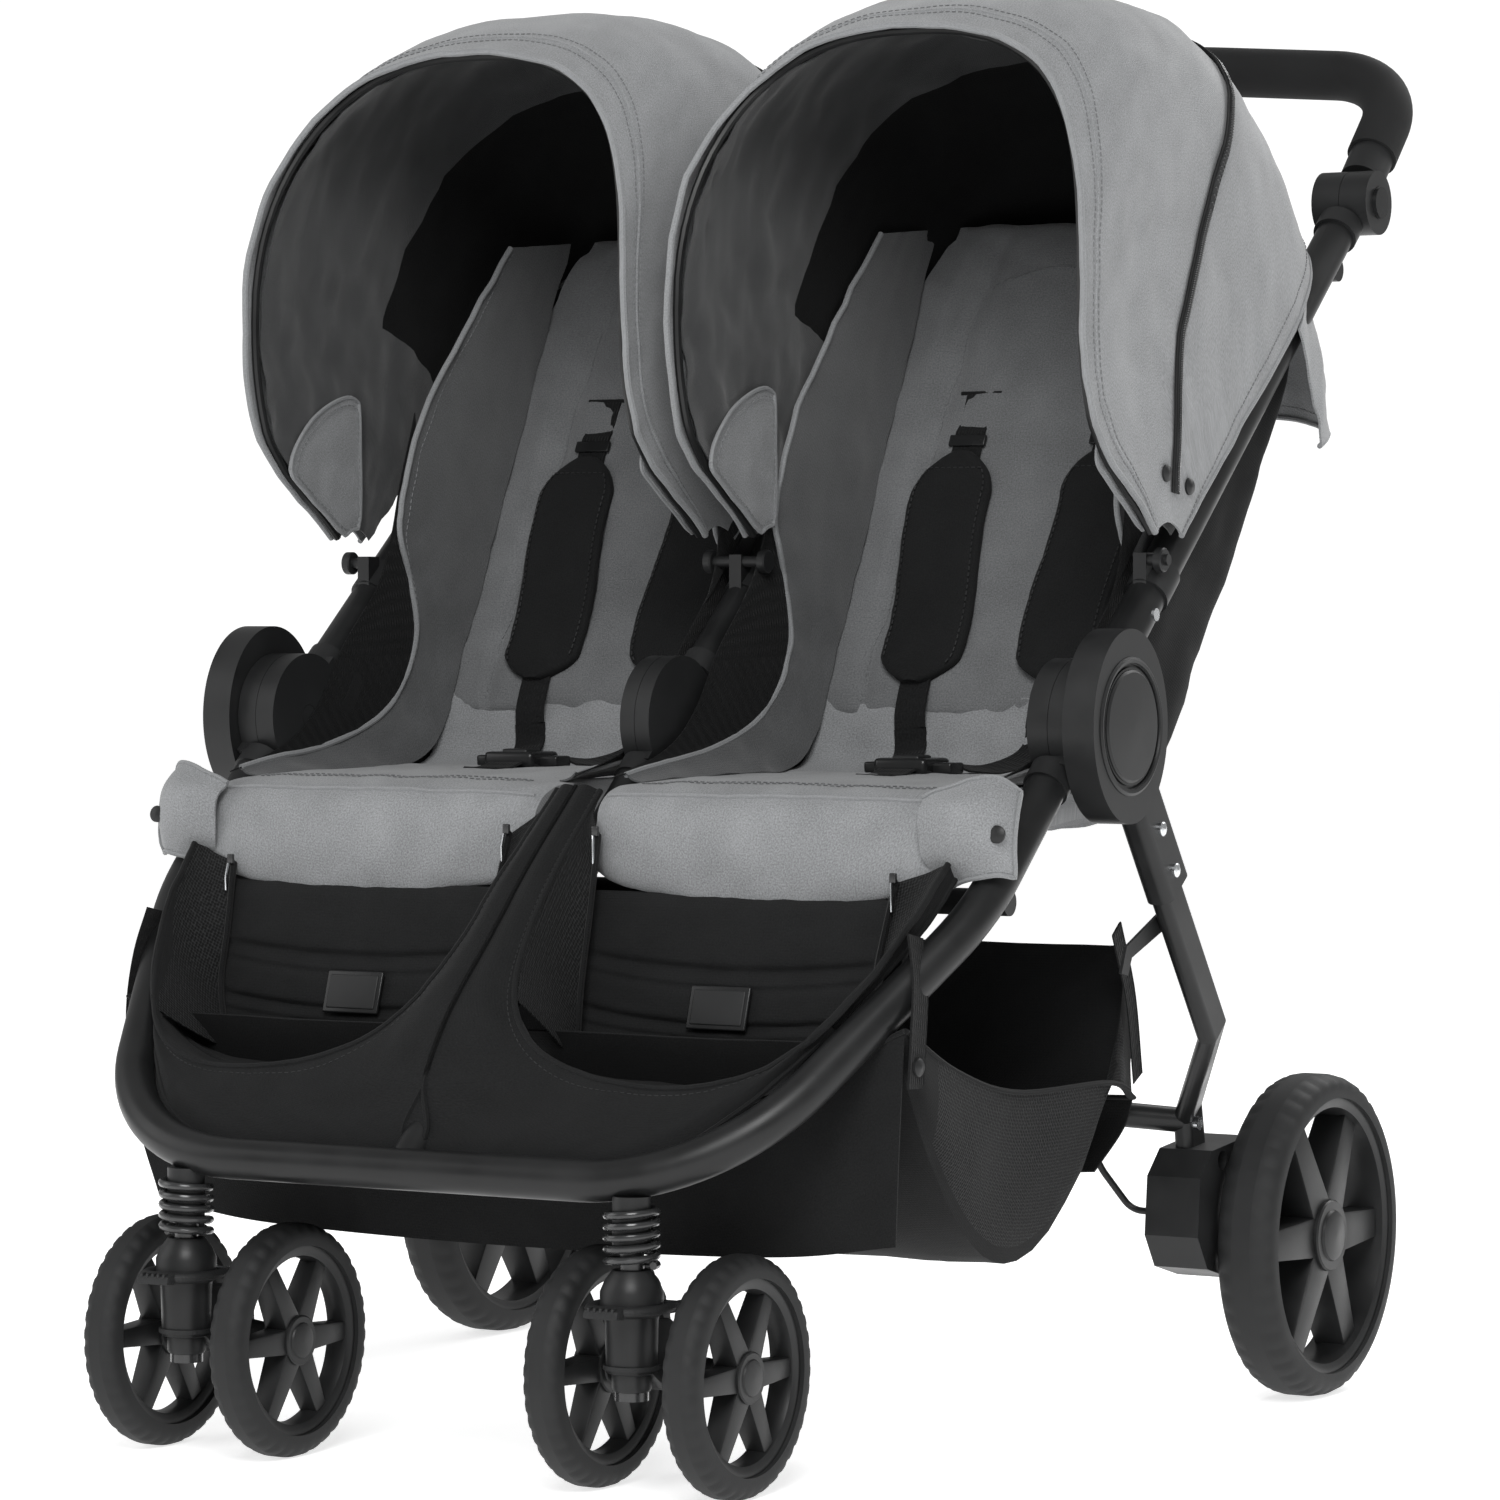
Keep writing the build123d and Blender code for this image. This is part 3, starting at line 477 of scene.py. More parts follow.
def canopy_point(a, angle_share, inset, side, tail=False):
    """Point of the hood: a runs 0 to 1 over the arch from the outer hem, angle_share from front to rear."""
    front = np.interp(EDGE_SPAN, *zip(*FRONT_EDGE))
    middle = front + (REAR_ANGLE - front) * angle_share
    if tail:
        middle = REAR_ANGLE + (TAIL_ANGLE - REAR_ANGLE) * angle_share
    reach = np.interp(middle, *zip(*REACH)) - inset
    half = CANOPY_HALF - inset
    crown = 165.0
    foot = 26.0
    straight = reach - crown - foot
    bend = half * 2.2
    total = 2 * straight + bend
    s = a * total
    if s < straight:
        dx, r = half, foot + s
    elif s > total - straight:
        dx, r = -half, foot + total - s
    else:
        t = (s - straight) / bend * math.pi
        power = 2 / (2.5 + 0.9 * angle_share)
        dx = half * math.copysign(abs(math.cos(t)) ** power, math.cos(t))
        r = foot + straight + crown * abs(math.sin(t)) ** power
    start = np.interp(r * EDGE_SPAN / max(reach, 1), *zip(*FRONT_EDGE))
    angle = start + (REAR_ANGLE - start) * angle_share
    if tail:
        angle = middle
    turn = math.radians(angle)
    return (side * (CANOPY_X + dx), BOW_AXIS[0] + r * math.cos(turn), BOW_AXIS[1] + r * math.sin(turn))


def canopy_grid(side, nv, nu, inset=0.0, v0=0.0, v1=1.0, u0=0.0, u1=1.0, tail=False):
    """Points of the hood over a range of shares across (u) and from front to rear (v)."""
    us, vs = np.linspace(u0, u1, nu), np.linspace(v0, v1, nv)
    grid = np.array([[canopy_point(u, v, inset, side, tail) for u in us] for v in vs])
    return grid if side > 0 else grid[:, ::-1]


def lining_look(i, j):
    """Black panel in the rear middle of the grey lining."""
    return INNER if i > 27 and 18 < j < 71 else LINING_SHADE_GREY


def fan_spot(angle):
    """Place well out from the bow axis, at an angle in the side view."""
    way = (math.cos(math.radians(angle)), math.sin(math.radians(angle)))
    return spot(0, *[BOW_AXIS[k] + 300 * way[k] for k in (0, 1)])


def canopy(label, side):
    """Hood, seams, zip, lining, front wire, brim corners, tail and snaps of one canopy."""
    bow, body = f"canopy_bow_{label}", "push_frame"
    outer = wrinkled(canopy_grid(side, 64, 120), 2.2, 70.0, seed=side)
    n = normals(outer)
    if (n[32, 60] @ np.array((0, 0, 1))) < 0:
        outer = outer[:, ::-1]
        n = normals(outer)
    hood = make(f"canopy_{label}", sheet_part(outer, GREY, 1.6))
    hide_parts(f"canopy_fabric_{label}")
    last_row, count = outer.shape[0] - 1, outer.shape[1]
    trims = []

    def line(v, lift, a=0, b=None):
        row = v * last_row
        i = int(min(row, last_row - 1))
        f = row - i
        p = outer[i] * (1 - f) + outer[i + 1] * f + n[i] * lift
        return p[a:b]

    seams = [tube_part(line(0.0, -0.6), 2.4, GREY_PIPING, 8)]
    for v in (0.055, 0.085):
        seams += stitches(line(v, 0.25), THREAD)
    seams.append(tube_part(line(0.07, -0.6), 1.5, GREY, 6))
    seams.append(tube_part(line(0.99, -0.4), 2.0, GREY_PIPING, 8))
    seams += stitches(line(0.955, 0.25), THREAD)
    trims.append(make(f"canopy_seams_{label}", seams))
    zip_at = 0.56
    zip_line = line(zip_at, 1.0, 3, -3)
    zip_n = n[int(zip_at * last_row)][3:-3]
    zipper = [ribbon_part(zip_line, zip_n[0], 13, 1.2, PIPING)]
    zipper.append(tube_part(zip_line + zip_n * 1.0, 2.0, DARK_THREAD, 8))
    for k in range(len(zip_line) - 1):
        for f in (0.0, 0.25, 0.5, 0.75):
            c = zip_line[k] * (1 - f) + zip_line[k + 1] * f + zip_n[k] * 2.2
            t = zip_line[k + 1] - zip_line[k]
            sideways = np.cross(t / np.linalg.norm(t), zip_n[k])
            zipper.append(tube_part([c - sideways * 2.2, c + sideways * 2.2], 0.8, SPRING, 4))
    trims.append(make(f"canopy_zip_{label}", zipper))

    # The lining's grey is darkened with painted shade.
    lining = wrinkled(canopy_grid(side, 48, 90, inset=9.0, v0=0.03, v1=0.97), 4.0, 34.0, seed=5 + side)
    lined = make(f"canopy_lining_{label}", sheet_part(lining, LINING_SHADE_GREY, 0.8, pick=lining_look))

    rib = canopy_grid(side, 60, 90, inset=5.5)[1]
    ends = [disc_part(x - 3, x + 3, *BOW_AXIS, 8.5, HUB) for x in (rib[0][0], rib[-1][0])]
    piece = make(f"canopy_rib_{label}", [tube_part(rib, 3.0, FRAME, 8), *ends], body=bow)
    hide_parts(bow)

    # Folded corners of the brim, on the inside of each side.
    flaps = []
    flap_rows, flap_cols, rounding = 22, 26, 9
    for u0, u1 in ((0.0, 0.13), (0.87, 1.0)):
        g = canopy_grid(side, flap_rows, flap_cols, inset=12.0, v0=0.0, v1=0.52, u0=u0, u1=u1)
        centre = g.mean((0, 1))
        rows = np.linspace(-1, 1, flap_rows)[:, None]
        cols = np.linspace(-1, 1, flap_cols)[None, :]
        soft = (np.abs(rows) ** rounding + np.abs(cols) ** rounding) ** (1 / rounding)
        scale = np.where(soft > 0, np.maximum(np.abs(rows), np.abs(cols)) / np.maximum(soft, 1e-6), 1.0)
        g = centre + (g - centre) * scale[..., None]
        flaps.append(sheet_part(wrinkled(g, 1.2, 30.0, seed=9), GREY, 2.0))
        edge = np.concatenate([g[0], g[1:, -1], g[-1, ::-1][1:], g[::-1, 0][1:]])
        inner = centre + (edge - centre) * 0.9
        flaps.append(tube_part(edge, 1.6, GREY_PIPING, 6))
        flaps += stitches(inner + (CANOPY_X * side - inner[:, :1]) * np.array((0.012, 0, 0)), THREAD)
    trims.append(make(f"canopy_flaps_{label}", flaps))

    tail = wrinkled(canopy_grid(side, 30, 96, u0=0.29, u1=0.71, tail=True), 3.0, 50.0, seed=3)
    tail_piece = make(f"canopy_tail_{label}", sheet_part(tail, GREY, 1.6), body=body)
    hem = [tube_part(tail[-1], 2.0, GREY_PIPING, 8), *stitches(tail[-3], THREAD)]
    make(f"canopy_tail_hem_{label}", hem, body=body)

    snaps = []
    for v in (0.42, 0.8):
        for j in (5, count - 6):
            i = int(v * last_row)
            p = outer[i, j] + n[i, j] * 0.5
            way = math.copysign(1, n[i, j][0])
            snaps.append(disc_part(p[0], p[0] + way * 2.4, p[1], p[2], 6.0, HUB, dome=0.8))
    trims.append(make(f"canopy_snaps_{label}", snaps, body=body))

    for piece in (hood, lined, *trims[:3]):
        fan_spot(44)
        fan_spot(104)
        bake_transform(piece)
    cloth(hood, outer)
    cloth(lined, lining)
    cloth(tail_piece, tail)


for label, side in SIDES.items():
    canopy(label, side)


# ---------------------------------------------------------------- seats
def back_at(x, height, depth):
    """Point on a backrest: height up its front face, depth behind it."""
    c, s = math.cos(BACK_ANGLE), math.sin(BACK_ANGLE)
    return (x, BACK_FOOT[0] + height * c + depth * s, BACK_FOOT[1] + height * s - depth * c)


def seat_cushion(label, side):
    """Grey seat whose front rolls down over the crossbar."""
    section = [(412, 426), (414, 446), (400, 454), (330, 456), (250, 455), (190, 454), (162, 449), (146, 436),
               (140, 415), (139, 395), (144, 382), (156, 384), (170, 400), (200, 414), (260, 420), (350, 421)]
    ring = spline(section + section[:1], 97)[:-1]
    middle = ring.mean(0)
    rows = []
    xs = np.linspace(SEAT_IN + 1, SEAT_OUT - 1, 54)
    half = (SEAT_OUT - SEAT_IN) / 2
    for x in xs:
        t = abs(x - SEAT_X) / half
        shrink = 1 - 0.10 * t ** 8 - 0.02 * t ** 2
        crown = 1.0 + 0.02 * (1 - t * t)
        p = middle + (ring - middle) * np.array((shrink, shrink * crown))
        droop = 13 * (1 - t * t) - 6
        rows.append([(x, y, z - droop * min(1, max(0, (436 - z) / 40)) * (y < 175)) for y, z in p])
    grid = np.array(rows)
    grid = wrinkled(grid, 1.6, 45.0, seed=2 + side)
    parts = sided([closed_part(grid[:, ::-1], GREY)], side)
    pad = make(f"seat_cushion_{label}", parts, body="front_frame", sharp=60)
    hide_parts(f"seat_pad_{label}")
    lines = []
    for k in (25, 26):
        lines += stitches(grid[4:-4, k + 6] + np.array((0, -0.6, 0.6)), THREAD)
    seam = grid[1:-1, 38] + np.array((0, -0.8, 0))
    lines.append(tube_part(seam, 1.6, GREY_PIPING, 6))
    make(f"seat_cushion_seams_{label}", sided(lines, side), body="front_frame")


def calf_panel(label, side):
    """Black quilted calf rest with curved double seams and a blank patch."""
    x0, x1 = SEAT_X - 136, SEAT_X + 113
    nu, nv = 64, 72
    xs = np.linspace(x0, x1, nu)
    rows, back = [], []
    top, low = np.array((144.0, 380.0)), np.array((106.0, 258.0))
    seams = (0.34, 0.62)
    for v in np.linspace(0, 1, nv):
        line, rear = [], []
        for x in xs:
            t = (x - (x0 + x1) / 2) / ((x1 - x0) / 2)
            bent = v - 0.10 * (1 - t * t) * (0.35 + v) * math.sin(math.pi * min(1, max(0, v)))
            puff = 6.5
            for seam in seams:
                puff -= 5.0 * math.exp(-((bent - seam) / 0.030) ** 2)
                puff -= 2.4 * math.exp(-((bent - seam - 0.075) / 0.018) ** 2)
            puff *= (1 - t ** 10) * min(1, v / 0.06, (1 - v) / 0.06) ** 0.5
            y, z = top + (low - top) * v
            line.append((x, y - puff, z - 0.25 * puff))
            rear.append((x, y + 7.5, z))
        rows.append(line)
        back.append(rear)
    front = wrinkled(np.array(rows), 1.0, 26.0, seed=4 + side)
    ring = np.concatenate([front, np.array(back)[:, ::-1]], 1)
    panel = make(f"calf_panel_{label}", sided([closed_part(ring, BLACK)], side), body="front_frame",
                 sharp=70)
    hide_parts(f"calf_rest_{label}")
    patch_at = front[int(nv * 0.58), nu // 2]
    c = np.array((patch_at[0] - 6, patch_at[1] - 3.5, patch_at[2] - 2))
    lean = -math.radians(17)
    label_patch = [box_part(c, (46, 3.0, 30), BUCKLE, bevel=1.2, turn=lean),
                   box_part(c + np.array((0, -0.9, 0.3)), (40, 2.6, 24), HUB, bevel=1.0, turn=lean)]
    make(f"calf_patch_{label}", sided(label_patch, side), body="front_frame")


def seat_back(label, side):
    """Padded seat back with a sewn centre panel and folded top."""
    nu, nv = 60, 80
    rows = []
    for v in np.linspace(0, 1, nv):
        h = 404 * v + 2
        widen = min(1.0, max(0.0, (396 - h) / 80)) ** 0.5 if h > 316 else 1.0
        half = 138.5 * (0.80 + 0.20 * widen)
        line = []
        for t in np.linspace(-1, 1, nu):
            x = SEAT_X + half * t
            contour = abs(t) - 0.64 - 0.08 * math.cos(v * 3.0)
            puff = 5.0 * (1 - t ** 6) - 3.5 * math.exp(-(contour / 0.045) ** 2) + 2.0 * (abs(t) > 0.75)
            puff *= min(1, v / 0.05, (1 - v) / 0.04) ** 0.5
            line.append(back_at(x, h, 3.0 - puff))
        rows.append(line)
    front = wrinkled(np.array(rows), 3.2, 62.0, seed=7 + side)
    rear = np.array([[back_at(x, 404 * v + 2, 28 - 3 * (1 - ((x - SEAT_X) / 139) ** 4)) for x in row[:, 0]]
                     for v, row in zip(np.linspace(0, 1, nv), front)])
    ring = np.concatenate([front, rear[:, ::-1]], 1)
    body = f"backrest_{label}"
    half_ring = front.shape[1]
    # The seat back's front gets the grey darkened with painted shade; its rear is black cloth.
    part = closed_part(ring[:, ::-1], SEAT_SHADE_GREY)
    faces_u = ring.shape[1]
    part["m"] = [SEAT_SHADE_GREY if (k % faces_u) >= faces_u - half_ring else BLACK for k in range(len(part["f"]))]
    padded = make(f"seat_back_{label}", sided([part], side), body=body, sharp=70)
    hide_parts(body)
    lines = []
    for way in (-1, 1):
        path = []
        for v in np.linspace(0.03, 0.86, 60):
            t = way * (0.64 + 0.08 * math.cos(v * 3.0))
            i, j = v * (nv - 1), (t + 1) / 2 * (nu - 1)
            path.append(front[int(i), int(round(j))] + np.array((0, -0.6, 0.3)))
        lines += stitches(spline(path[::4], 80), THREAD)
    arch = []
    for a in np.linspace(0.1, math.pi - 0.1, 24):
        t = 0.64 * -math.cos(a) * 0.85
        i, j = 0.86 * (nv - 1) + 4 * math.sin(a), (t + 1) / 2 * (nu - 1)
        arch.append(front[int(i), int(round(j))] + np.array((0, -0.6, 0.3)))
    lines += stitches(spline(arch[::3], 40), THREAD)
    make(f"seat_back_seams_{label}", sided(lines, side), body=body)


def wing(label, side):
    """Side of the seat: a grey cheek bound with piping, and black ribbed mesh down to the frame."""
    cheek_edge = [(200, 458), (321, 474), (392, 500), (424, 545), (418, 592), (398, 640), (424, 720),
                  (536, 850)]
    seat_edge = [(200, 452), (322, 454), (400, 456), (440, 480), (468, 535), (490, 580), (548, 700),
                 (622, 858)]
    frame_edge = [(190, 455), (262, 474), (300, 500), (330, 540), (356, 566), (382, 590), (436, 640)]
    for place, x_seat, x_edge, x_frame in (("inner", SEAT_IN + 10, SEAT_IN - 3, 15.5),
                                           ("outer", SEAT_OUT - 10, SEAT_OUT + 4, 309.0)):
        rows = []
        inwards = math.copysign(14, SEAT_X - x_edge)
        for k, ((y0, z0), (y1, z1)) in enumerate(zip(seat_edge, cheek_edge)):
            edge = x_edge + inwards * max(0, k - 4) / 3
            rows.append([(x_seat, y0, z0), ((x_seat * 0.35 + edge * 0.65), (y0 + y1) / 2, (z0 + z1) / 2),
                         (edge, y1, z1)])
        grid = patch(rows, 70, 22)
        grid = wrinkled(grid, 2.5, 40.0, seed=11 + side)
        cut = 29
        lower, upper = grid[:cut], grid[cut - 1:]
        x_mid = (x_edge + x_frame) / 2
        net = patch([[(x_edge, y0, z0), (x_mid, (y0 + y1) / 2, (z0 + z1) / 2), (x_frame, y1, z1)]
                     for (y0, z0), (y1, z1) in zip(cheek_edge, frame_edge)], 60, 14)
        tag = f"{place}_{label}"
        # Both cheek pieces use the grey darkened with painted shade.
        seat_part = make(f"cheek_low_{tag}", sided([sheet_part(lower, CHEEK_SHADE_GREY, 1.4)], side))
        back_part = make(f"cheek_back_{tag}", sided([sheet_part(upper, CHEEK_SHADE_GREY, 1.4)], side))
        net_low = make(f"side_mesh_low_{tag}", sided([sheet_part(net[:cut], RIBBED, 0.8)], side))
        net_top = make(f"side_mesh_back_{tag}", sided([sheet_part(net[cut - 1:], RIBBED, 0.8)], side),
                       body="push_frame")
        piping = [tube_part(part[:, -1], 2.2, GREY_PIPING) for part in (lower, upper)]
        edge_low = make(f"cheek_piping_low_{tag}", sided(piping[:1], side))
        edge_top = make(f"cheek_piping_back_{tag}", sided([piping[1], *stitches(upper[:, -3], THREAD)], side),
                        body="push_frame")
        for piece in (seat_part, net_low, edge_low):
            spot(0, 327, 450)
            spot(0, 434, 476)
            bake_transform(piece)
        c, s = math.cos(BACK_ANGLE), math.sin(BACK_ANGLE)
        foot = np.array(BACK_FOOT)
        spot(0, foot[0] - 46 * s, foot[1] + 46 * c)
        spot(0, foot[0] - 6 * s, foot[1] + 6 * c)
        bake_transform(back_part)
        cloth(seat_part, lower)
        cloth(back_part, upper)
        cloth(net_low, net[:cut])
        cloth(net_top, net[cut - 1:])


def harness(label, side):
    """Shoulder covers with curved edges, webbing, crotch strap and buckle."""
    body = f"backrest_{label}"
    covers, straps = [], []
    for way in (-1, 1):
        x = SEAT_X + way * 58
        outline = []
        for v in np.linspace(0, 1, 40):
            h = 24 + 186 * v
            bulge = 8 * math.sin(math.pi * 2 * v) * (-way)
            half = 33 * min(1, math.sin(math.pi * min(1, (v + 0.02) / 0.14) / 2), math.sin(
                math.pi * min(1, (1.02 - v) / 0.20) / 2) ** 0.7)
            outline.append((x + bulge * 0.5, h, half))
        ring = []
        for cx, h, half in outline:
            half = max(half, 6)
            row = []
            for a in np.linspace(0, 2 * math.pi, 28, endpoint=False):
                across, thick = math.cos(a), math.sin(a)
                wide = math.copysign(abs(across) ** 0.8, across)
                deep = math.copysign(abs(thick) ** 0.6, thick)
                row.append(back_at(cx + half * wide, h, -6.2 - 5.4 * deep))
            ring.append(row)
        grid = wrinkled(np.array(ring), 0.8, 24.0, seed=13)
        covers.append(closed_part(grid, BLACK))
        rim_line = [back_at(cx + max(half, 6) * 0.86 * w, h, -11.6)
                    for w, seq in ((1, outline[3:-3]), (-1, outline[3:-3][::-1])) for cx, h, half in seq]
        covers += stitches(rim_line, DARK_THREAD, radius=0.6)
        up = [back_at(x, h, -4.0 + 3.5 * (h > 235)) for h in np.linspace(205, 262, 8)]
        straps.append(ribbon_part(up, (0, -math.sin(BACK_ANGLE), math.cos(BACK_ANGLE)), 25, 1.8, WEBBING))
        down = spline([back_at(x - way * 2, 30, -5), back_at(x - way * 4, 0, -6), (x - way * 8, 440, 470),
                       (x - way * 18, 402, 458.5), (x - way * 30, 372, 460)], 24)
        straps.append(ribbon_part(down[:9], (0, -0.9, 0.43), 25, 1.8, WEBBING))
        low = ribbon_part(down[8:], (0, -0.6, 0.8), 25, 1.8, WEBBING)
        make(f"hip_strap_{'outer' if way > 0 else 'inner'}_{label}", sided([low], side), body="front_frame")
        slot_edge = [back_at(x + dx, 263, -0.6) for dx in np.linspace(-17, 17, 12)]
        straps.append(tube_part(slot_edge, 1.6, PIPING, 6))
        straps.append(box_part(back_at(x, 221, -5.5), (30, 3.0, 9), BUCKLE, 1.0,
                               turn=BACK_ANGLE - math.pi / 2))
    pads = make(f"harness_pads_{label}", sided(covers, side), body=body, sharp=70)
    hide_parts(f"harness_{label}")
    make(f"harness_straps_{label}", sided(straps, side), body=body)
    y, z = 351.0, SEAT_TOP + 9.5
    buckle = [box_part((SEAT_X, y, z), (42, 38, 12), BUCKLE, 4.0),
              box_part((SEAT_X, y, z + 5), (22, 20, 6), HUB, 2.4),
              box_part((SEAT_X - 27, y + 3, z - 1), (16, 20, 8), BUCKLE, 2.2),
              box_part((SEAT_X + 27, y + 3, z - 1), (16, 20, 8), BUCKLE, 2.2)]
    crotch = spline([(SEAT_X, 330, z - 2), (SEAT_X, 314, z - 5.5), (SEAT_X, 296, SEAT_TOP + 4.5)], 10)
    buckle.append(ribbon_part(crotch, (0, 0, 1), 30, 2.0, WEBBING))
    lock = make(f"buckle_{label}", sided(buckle, side), body="front_frame")
    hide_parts(f"harness_buckle_{label}")


for label, side in SIDES.items():
    seat_cushion(label, side)
    calf_panel(label, side)
    seat_back(label, side)
    wing(label, side)
    harness(label, side)


# ---------------------------------------------------------------- footwell
CONTOUR = [(17, 172, 447), (20, 110, 395), (26, 60, 345), (40, 28, 310), (70, 8, 283), (115, 0, 268),
           (163, -2, 262), (210, 4, 266), (245, 20, 280), (270, 45, 305), (288, 75, 338), (300, 110, 375),
           (306, 150, 412)]
OUTLINE = [(0, 168, 450), (0, 110, 400), (0, 60, 352), (0, 10, 305), (0, -20, 262), (0, -36, 217),
           (130, -38, 214), (190, -27, 223), (232, 2, 253), (262, 42, 291), (285, 85, 331), (300, 125, 369),
           (309, 160, 405)]


def zip_parts(run, lift):
    """Zip tape and teeth along a line."""
    line = spline(np.asarray(run)[::3], 110) + np.array(lift)
    parts = [tube_part(line, 3.2, PIPING, 8, flat=0.5)]
    for a, b in zip(line[:-1], line[1:]):
        across = np.cross((b - a) / np.linalg.norm(b - a), (0, -0.9, 0.4))
        across /= np.linalg.norm(across)
        c = a + np.array((0, -1.4, 0.5))
        parts.append(tube_part([c - across * 1.7, c + across * 1.7], 0.5, SPRING, 4))
    return parts


def footwell():
    """Black apron from the front bar up to the piped openings, with mesh gussets, zips and a foot tray."""
    for label, side in SIDES.items():
        crown = np.array([(0, -6, 6)])
        middle = (np.array(OUTLINE) + np.array(CONTOUR)) / 2 + crown * 0.5
        grid = patch(np.stack([np.array(OUTLINE, float), middle, np.array(CONTOUR, float)], 1), 150, 30)
        grid = wrinkled(grid, 1.6, 50.0, seed=21 + side, fade=np.clip(grid[..., 0] / 12, 0, 1))
        apron = make(f"footwell_apron_{label}", sided([sheet_part(grid[:, ::-1], BLACK, 1.8)], side),
                     body="front_frame")
        if side > 0:
            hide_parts("footwell_cover")
        trims = [tube_part(grid[:, -1], 2.2, PIPING, 8), *stitches(grid[:, -4], DARK_THREAD),
                 tube_part(grid[:, 0], 2.0, PIPING, 6)]
        hem = make(f"footwell_piping_{label}", sided(trims, side), body="front_frame")
        cloth(apron, grid)

        near = [(40, 28, 310), *CONTOUR[4:10]]
        middle = [(34, 64, 272), (70, 56, 262), (115, 52, 256), (163, 52, 254), (210, 54, 256), (242, 60, 264),
                  (272, 74, 284)]
        far = [(30, 104, 262), (70, 104, 259), (115, 104, 258), (163, 104, 257), (210, 104, 258),
               (242, 104, 260), (276, 106, 272)]
        tray = patch([near, middle, far], 26, 60)
        floor = make(f"foot_tray_{label}", sided([sheet_part(wrinkled(tray, 1.2, 40.0), BLACK, 1.4)], side),
                     body="front_frame")
        cloth(floor, tray)

        inner = patch([[(19, 166, 441), (23, 154, 430), (36, 142, 418)],
                       [(20, 112, 397), (26, 120, 386), (39, 128, 372)],
                       [(26, 62, 347), (33, 84, 330), (43, 108, 312)],
                       [(38, 32, 313), (44, 62, 290), (46, 98, 262)]], 40, 12)
        outer = patch([[(305, 146, 409), (292, 144, 400), (268, 141, 392)],
                       [(300, 112, 377), (287, 118, 362), (264, 128, 348)],
                       [(289, 78, 341), (276, 90, 322), (260, 114, 304)],
                       [(262, 36, 296), (250, 60, 280), (240, 96, 262)]], 40, 12)
        for place, g in (("inner", inner), ("outer", outer)):
            piece = make(f"gusset_{place}_{label}", sided([sheet_part(g, NET, 1.0)], side),
                         body="front_frame")
            cloth(piece, g)
            zipper = zip_parts(g[:, -1], (0, -3.0, 1.0))
            c = g[0, -1] + np.array((0, -7, 3))
            zipper.append(box_part(c, (5, 3, 7), SPRING, 1.0))
            pull = [c + np.array(p) for p in ((0, -3, -3), (1, -4.5, -12), (1, -4, -22))]
            zipper.append(tube_part(pull, 1.4, STEEL, 8, flat=0.6))
            make(f"gusset_zip_{place}_{label}", sided(zipper, side), body="front_frame")


def seat_corner_flaps():
    """Grey tabs that wrap the seat front round the side tubes, each with a snap."""
    for label, side in SIDES.items():
        rows = [[(282, 150, 448), (304, 152, 456), (330, 160, 462), (343, 172, 452)],
                [(284, 138, 436), (308, 136, 444), (334, 146, 446), (346, 160, 436)],
                [(286, 140, 410), (310, 134, 418), (336, 142, 420), (347, 156, 414)],
                [(296, 158, 388), (316, 148, 394), (336, 150, 398), (345, 160, 396)]]
        g = wrinkled(patch(rows, 30, 30), 1.6, 30.0, seed=31)
        edge = np.concatenate([g[0], g[1:, -1], g[-1, ::-1][1:]])
        tab = make(f"seat_tab_{label}", sided([sheet_part(g[:, ::-1], GREY, 2.0)], side), body="front_frame")
        p = g[17, 22]
        button = [(0, 0.01), (0, 6), (1.6, 6), (2.6, 4.5), (2.9, 0.01)]
        snap = [tube_part(edge, 1.8, GREY_PIPING, 6),
                lathe_part(button, (0, 0, 0), HUB, axis="z", steps=28)]
        turned = snap[1]["v"] @ np.array(Matrix.Rotation(math.radians(82), 3, "X")).T
        snap[1]["v"] = turned + p + np.array((0, -0.6, 0))
        trim = make(f"seat_tab_snap_{label}", sided(snap, side), body="front_frame")
        cloth(tab, g)


footwell()
seat_corner_flaps()


# ---------------------------------------------------------------- back shell and basket
HULL_FRONT = [(330, 500), (365, 543), (426, 596), (487, 648), (548, 700), (616, 758), (668, 802)]
HULL_REAR = [(432, 438), (472, 484), (525, 551), (580, 622), (625, 682), (666, 752), (686, 812)]


def hull(label, side):
    """Black cloth behind and beside each seat back, from the push tubes down to the seat."""
    edge_in, edge_out = 16.5, 309.5
    for place, x_edge, way in (("inner", edge_in, 1), ("outer", edge_out, -1)):
        rows = [[(x_edge, *front), (x_edge - way * 1, *(np.array(front) * 0.45 + np.array(rear) * 0.55)),
                 (x_edge + way * 3, *rear), (x_edge + way * 60, rear[0] + 9, rear[1] - 8),
                 (SEAT_X, rear[0] + 12, rear[1] - 11)] for front, rear in zip(HULL_FRONT, HULL_REAR)]
        grid = wrinkled(patch(rows, 46, 50), 3.0, 70.0, seed=41 + side)
        shell = make(f"back_shell_{place}_{label}", sided([sheet_part(grid, BLACK, 1.6)], side))
        spot(side * (x_edge + way * 2), 0, 0)
        spot(side * (x_edge + way * 25), 0, 0)
        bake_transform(shell)
        cloth(shell, grid)


def crease(label, side):
    """Grey cloth that joins the seat to the foot of its back."""
    xs = np.linspace(SEAT_IN + 3, SEAT_OUT - 3, 40)
    line = [(396, 453), (420, 455), (438, 464), (447, 482), (459, 508)]
    grid = np.array([[(x, y, z) for x in xs] for y, z in spline(line, 20)])
    grid = wrinkled(grid, 2.0, 40.0, seed=61 + side)
    piece = make(f"seat_crease_{label}", sided([sheet_part(grid, GREY, 1.6)], side))
    spot(0, 404, 453)
    spot(0, 455, 500)
    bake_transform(piece)
    cloth(piece, grid)


def across(edge, shoulder, middle):
    """Row of points from the left edge to the right one, the same on both sides."""
    return [(-edge[0], *edge[1:]), (-shoulder[0], *shoulder[1:]), middle, shoulder, edge]


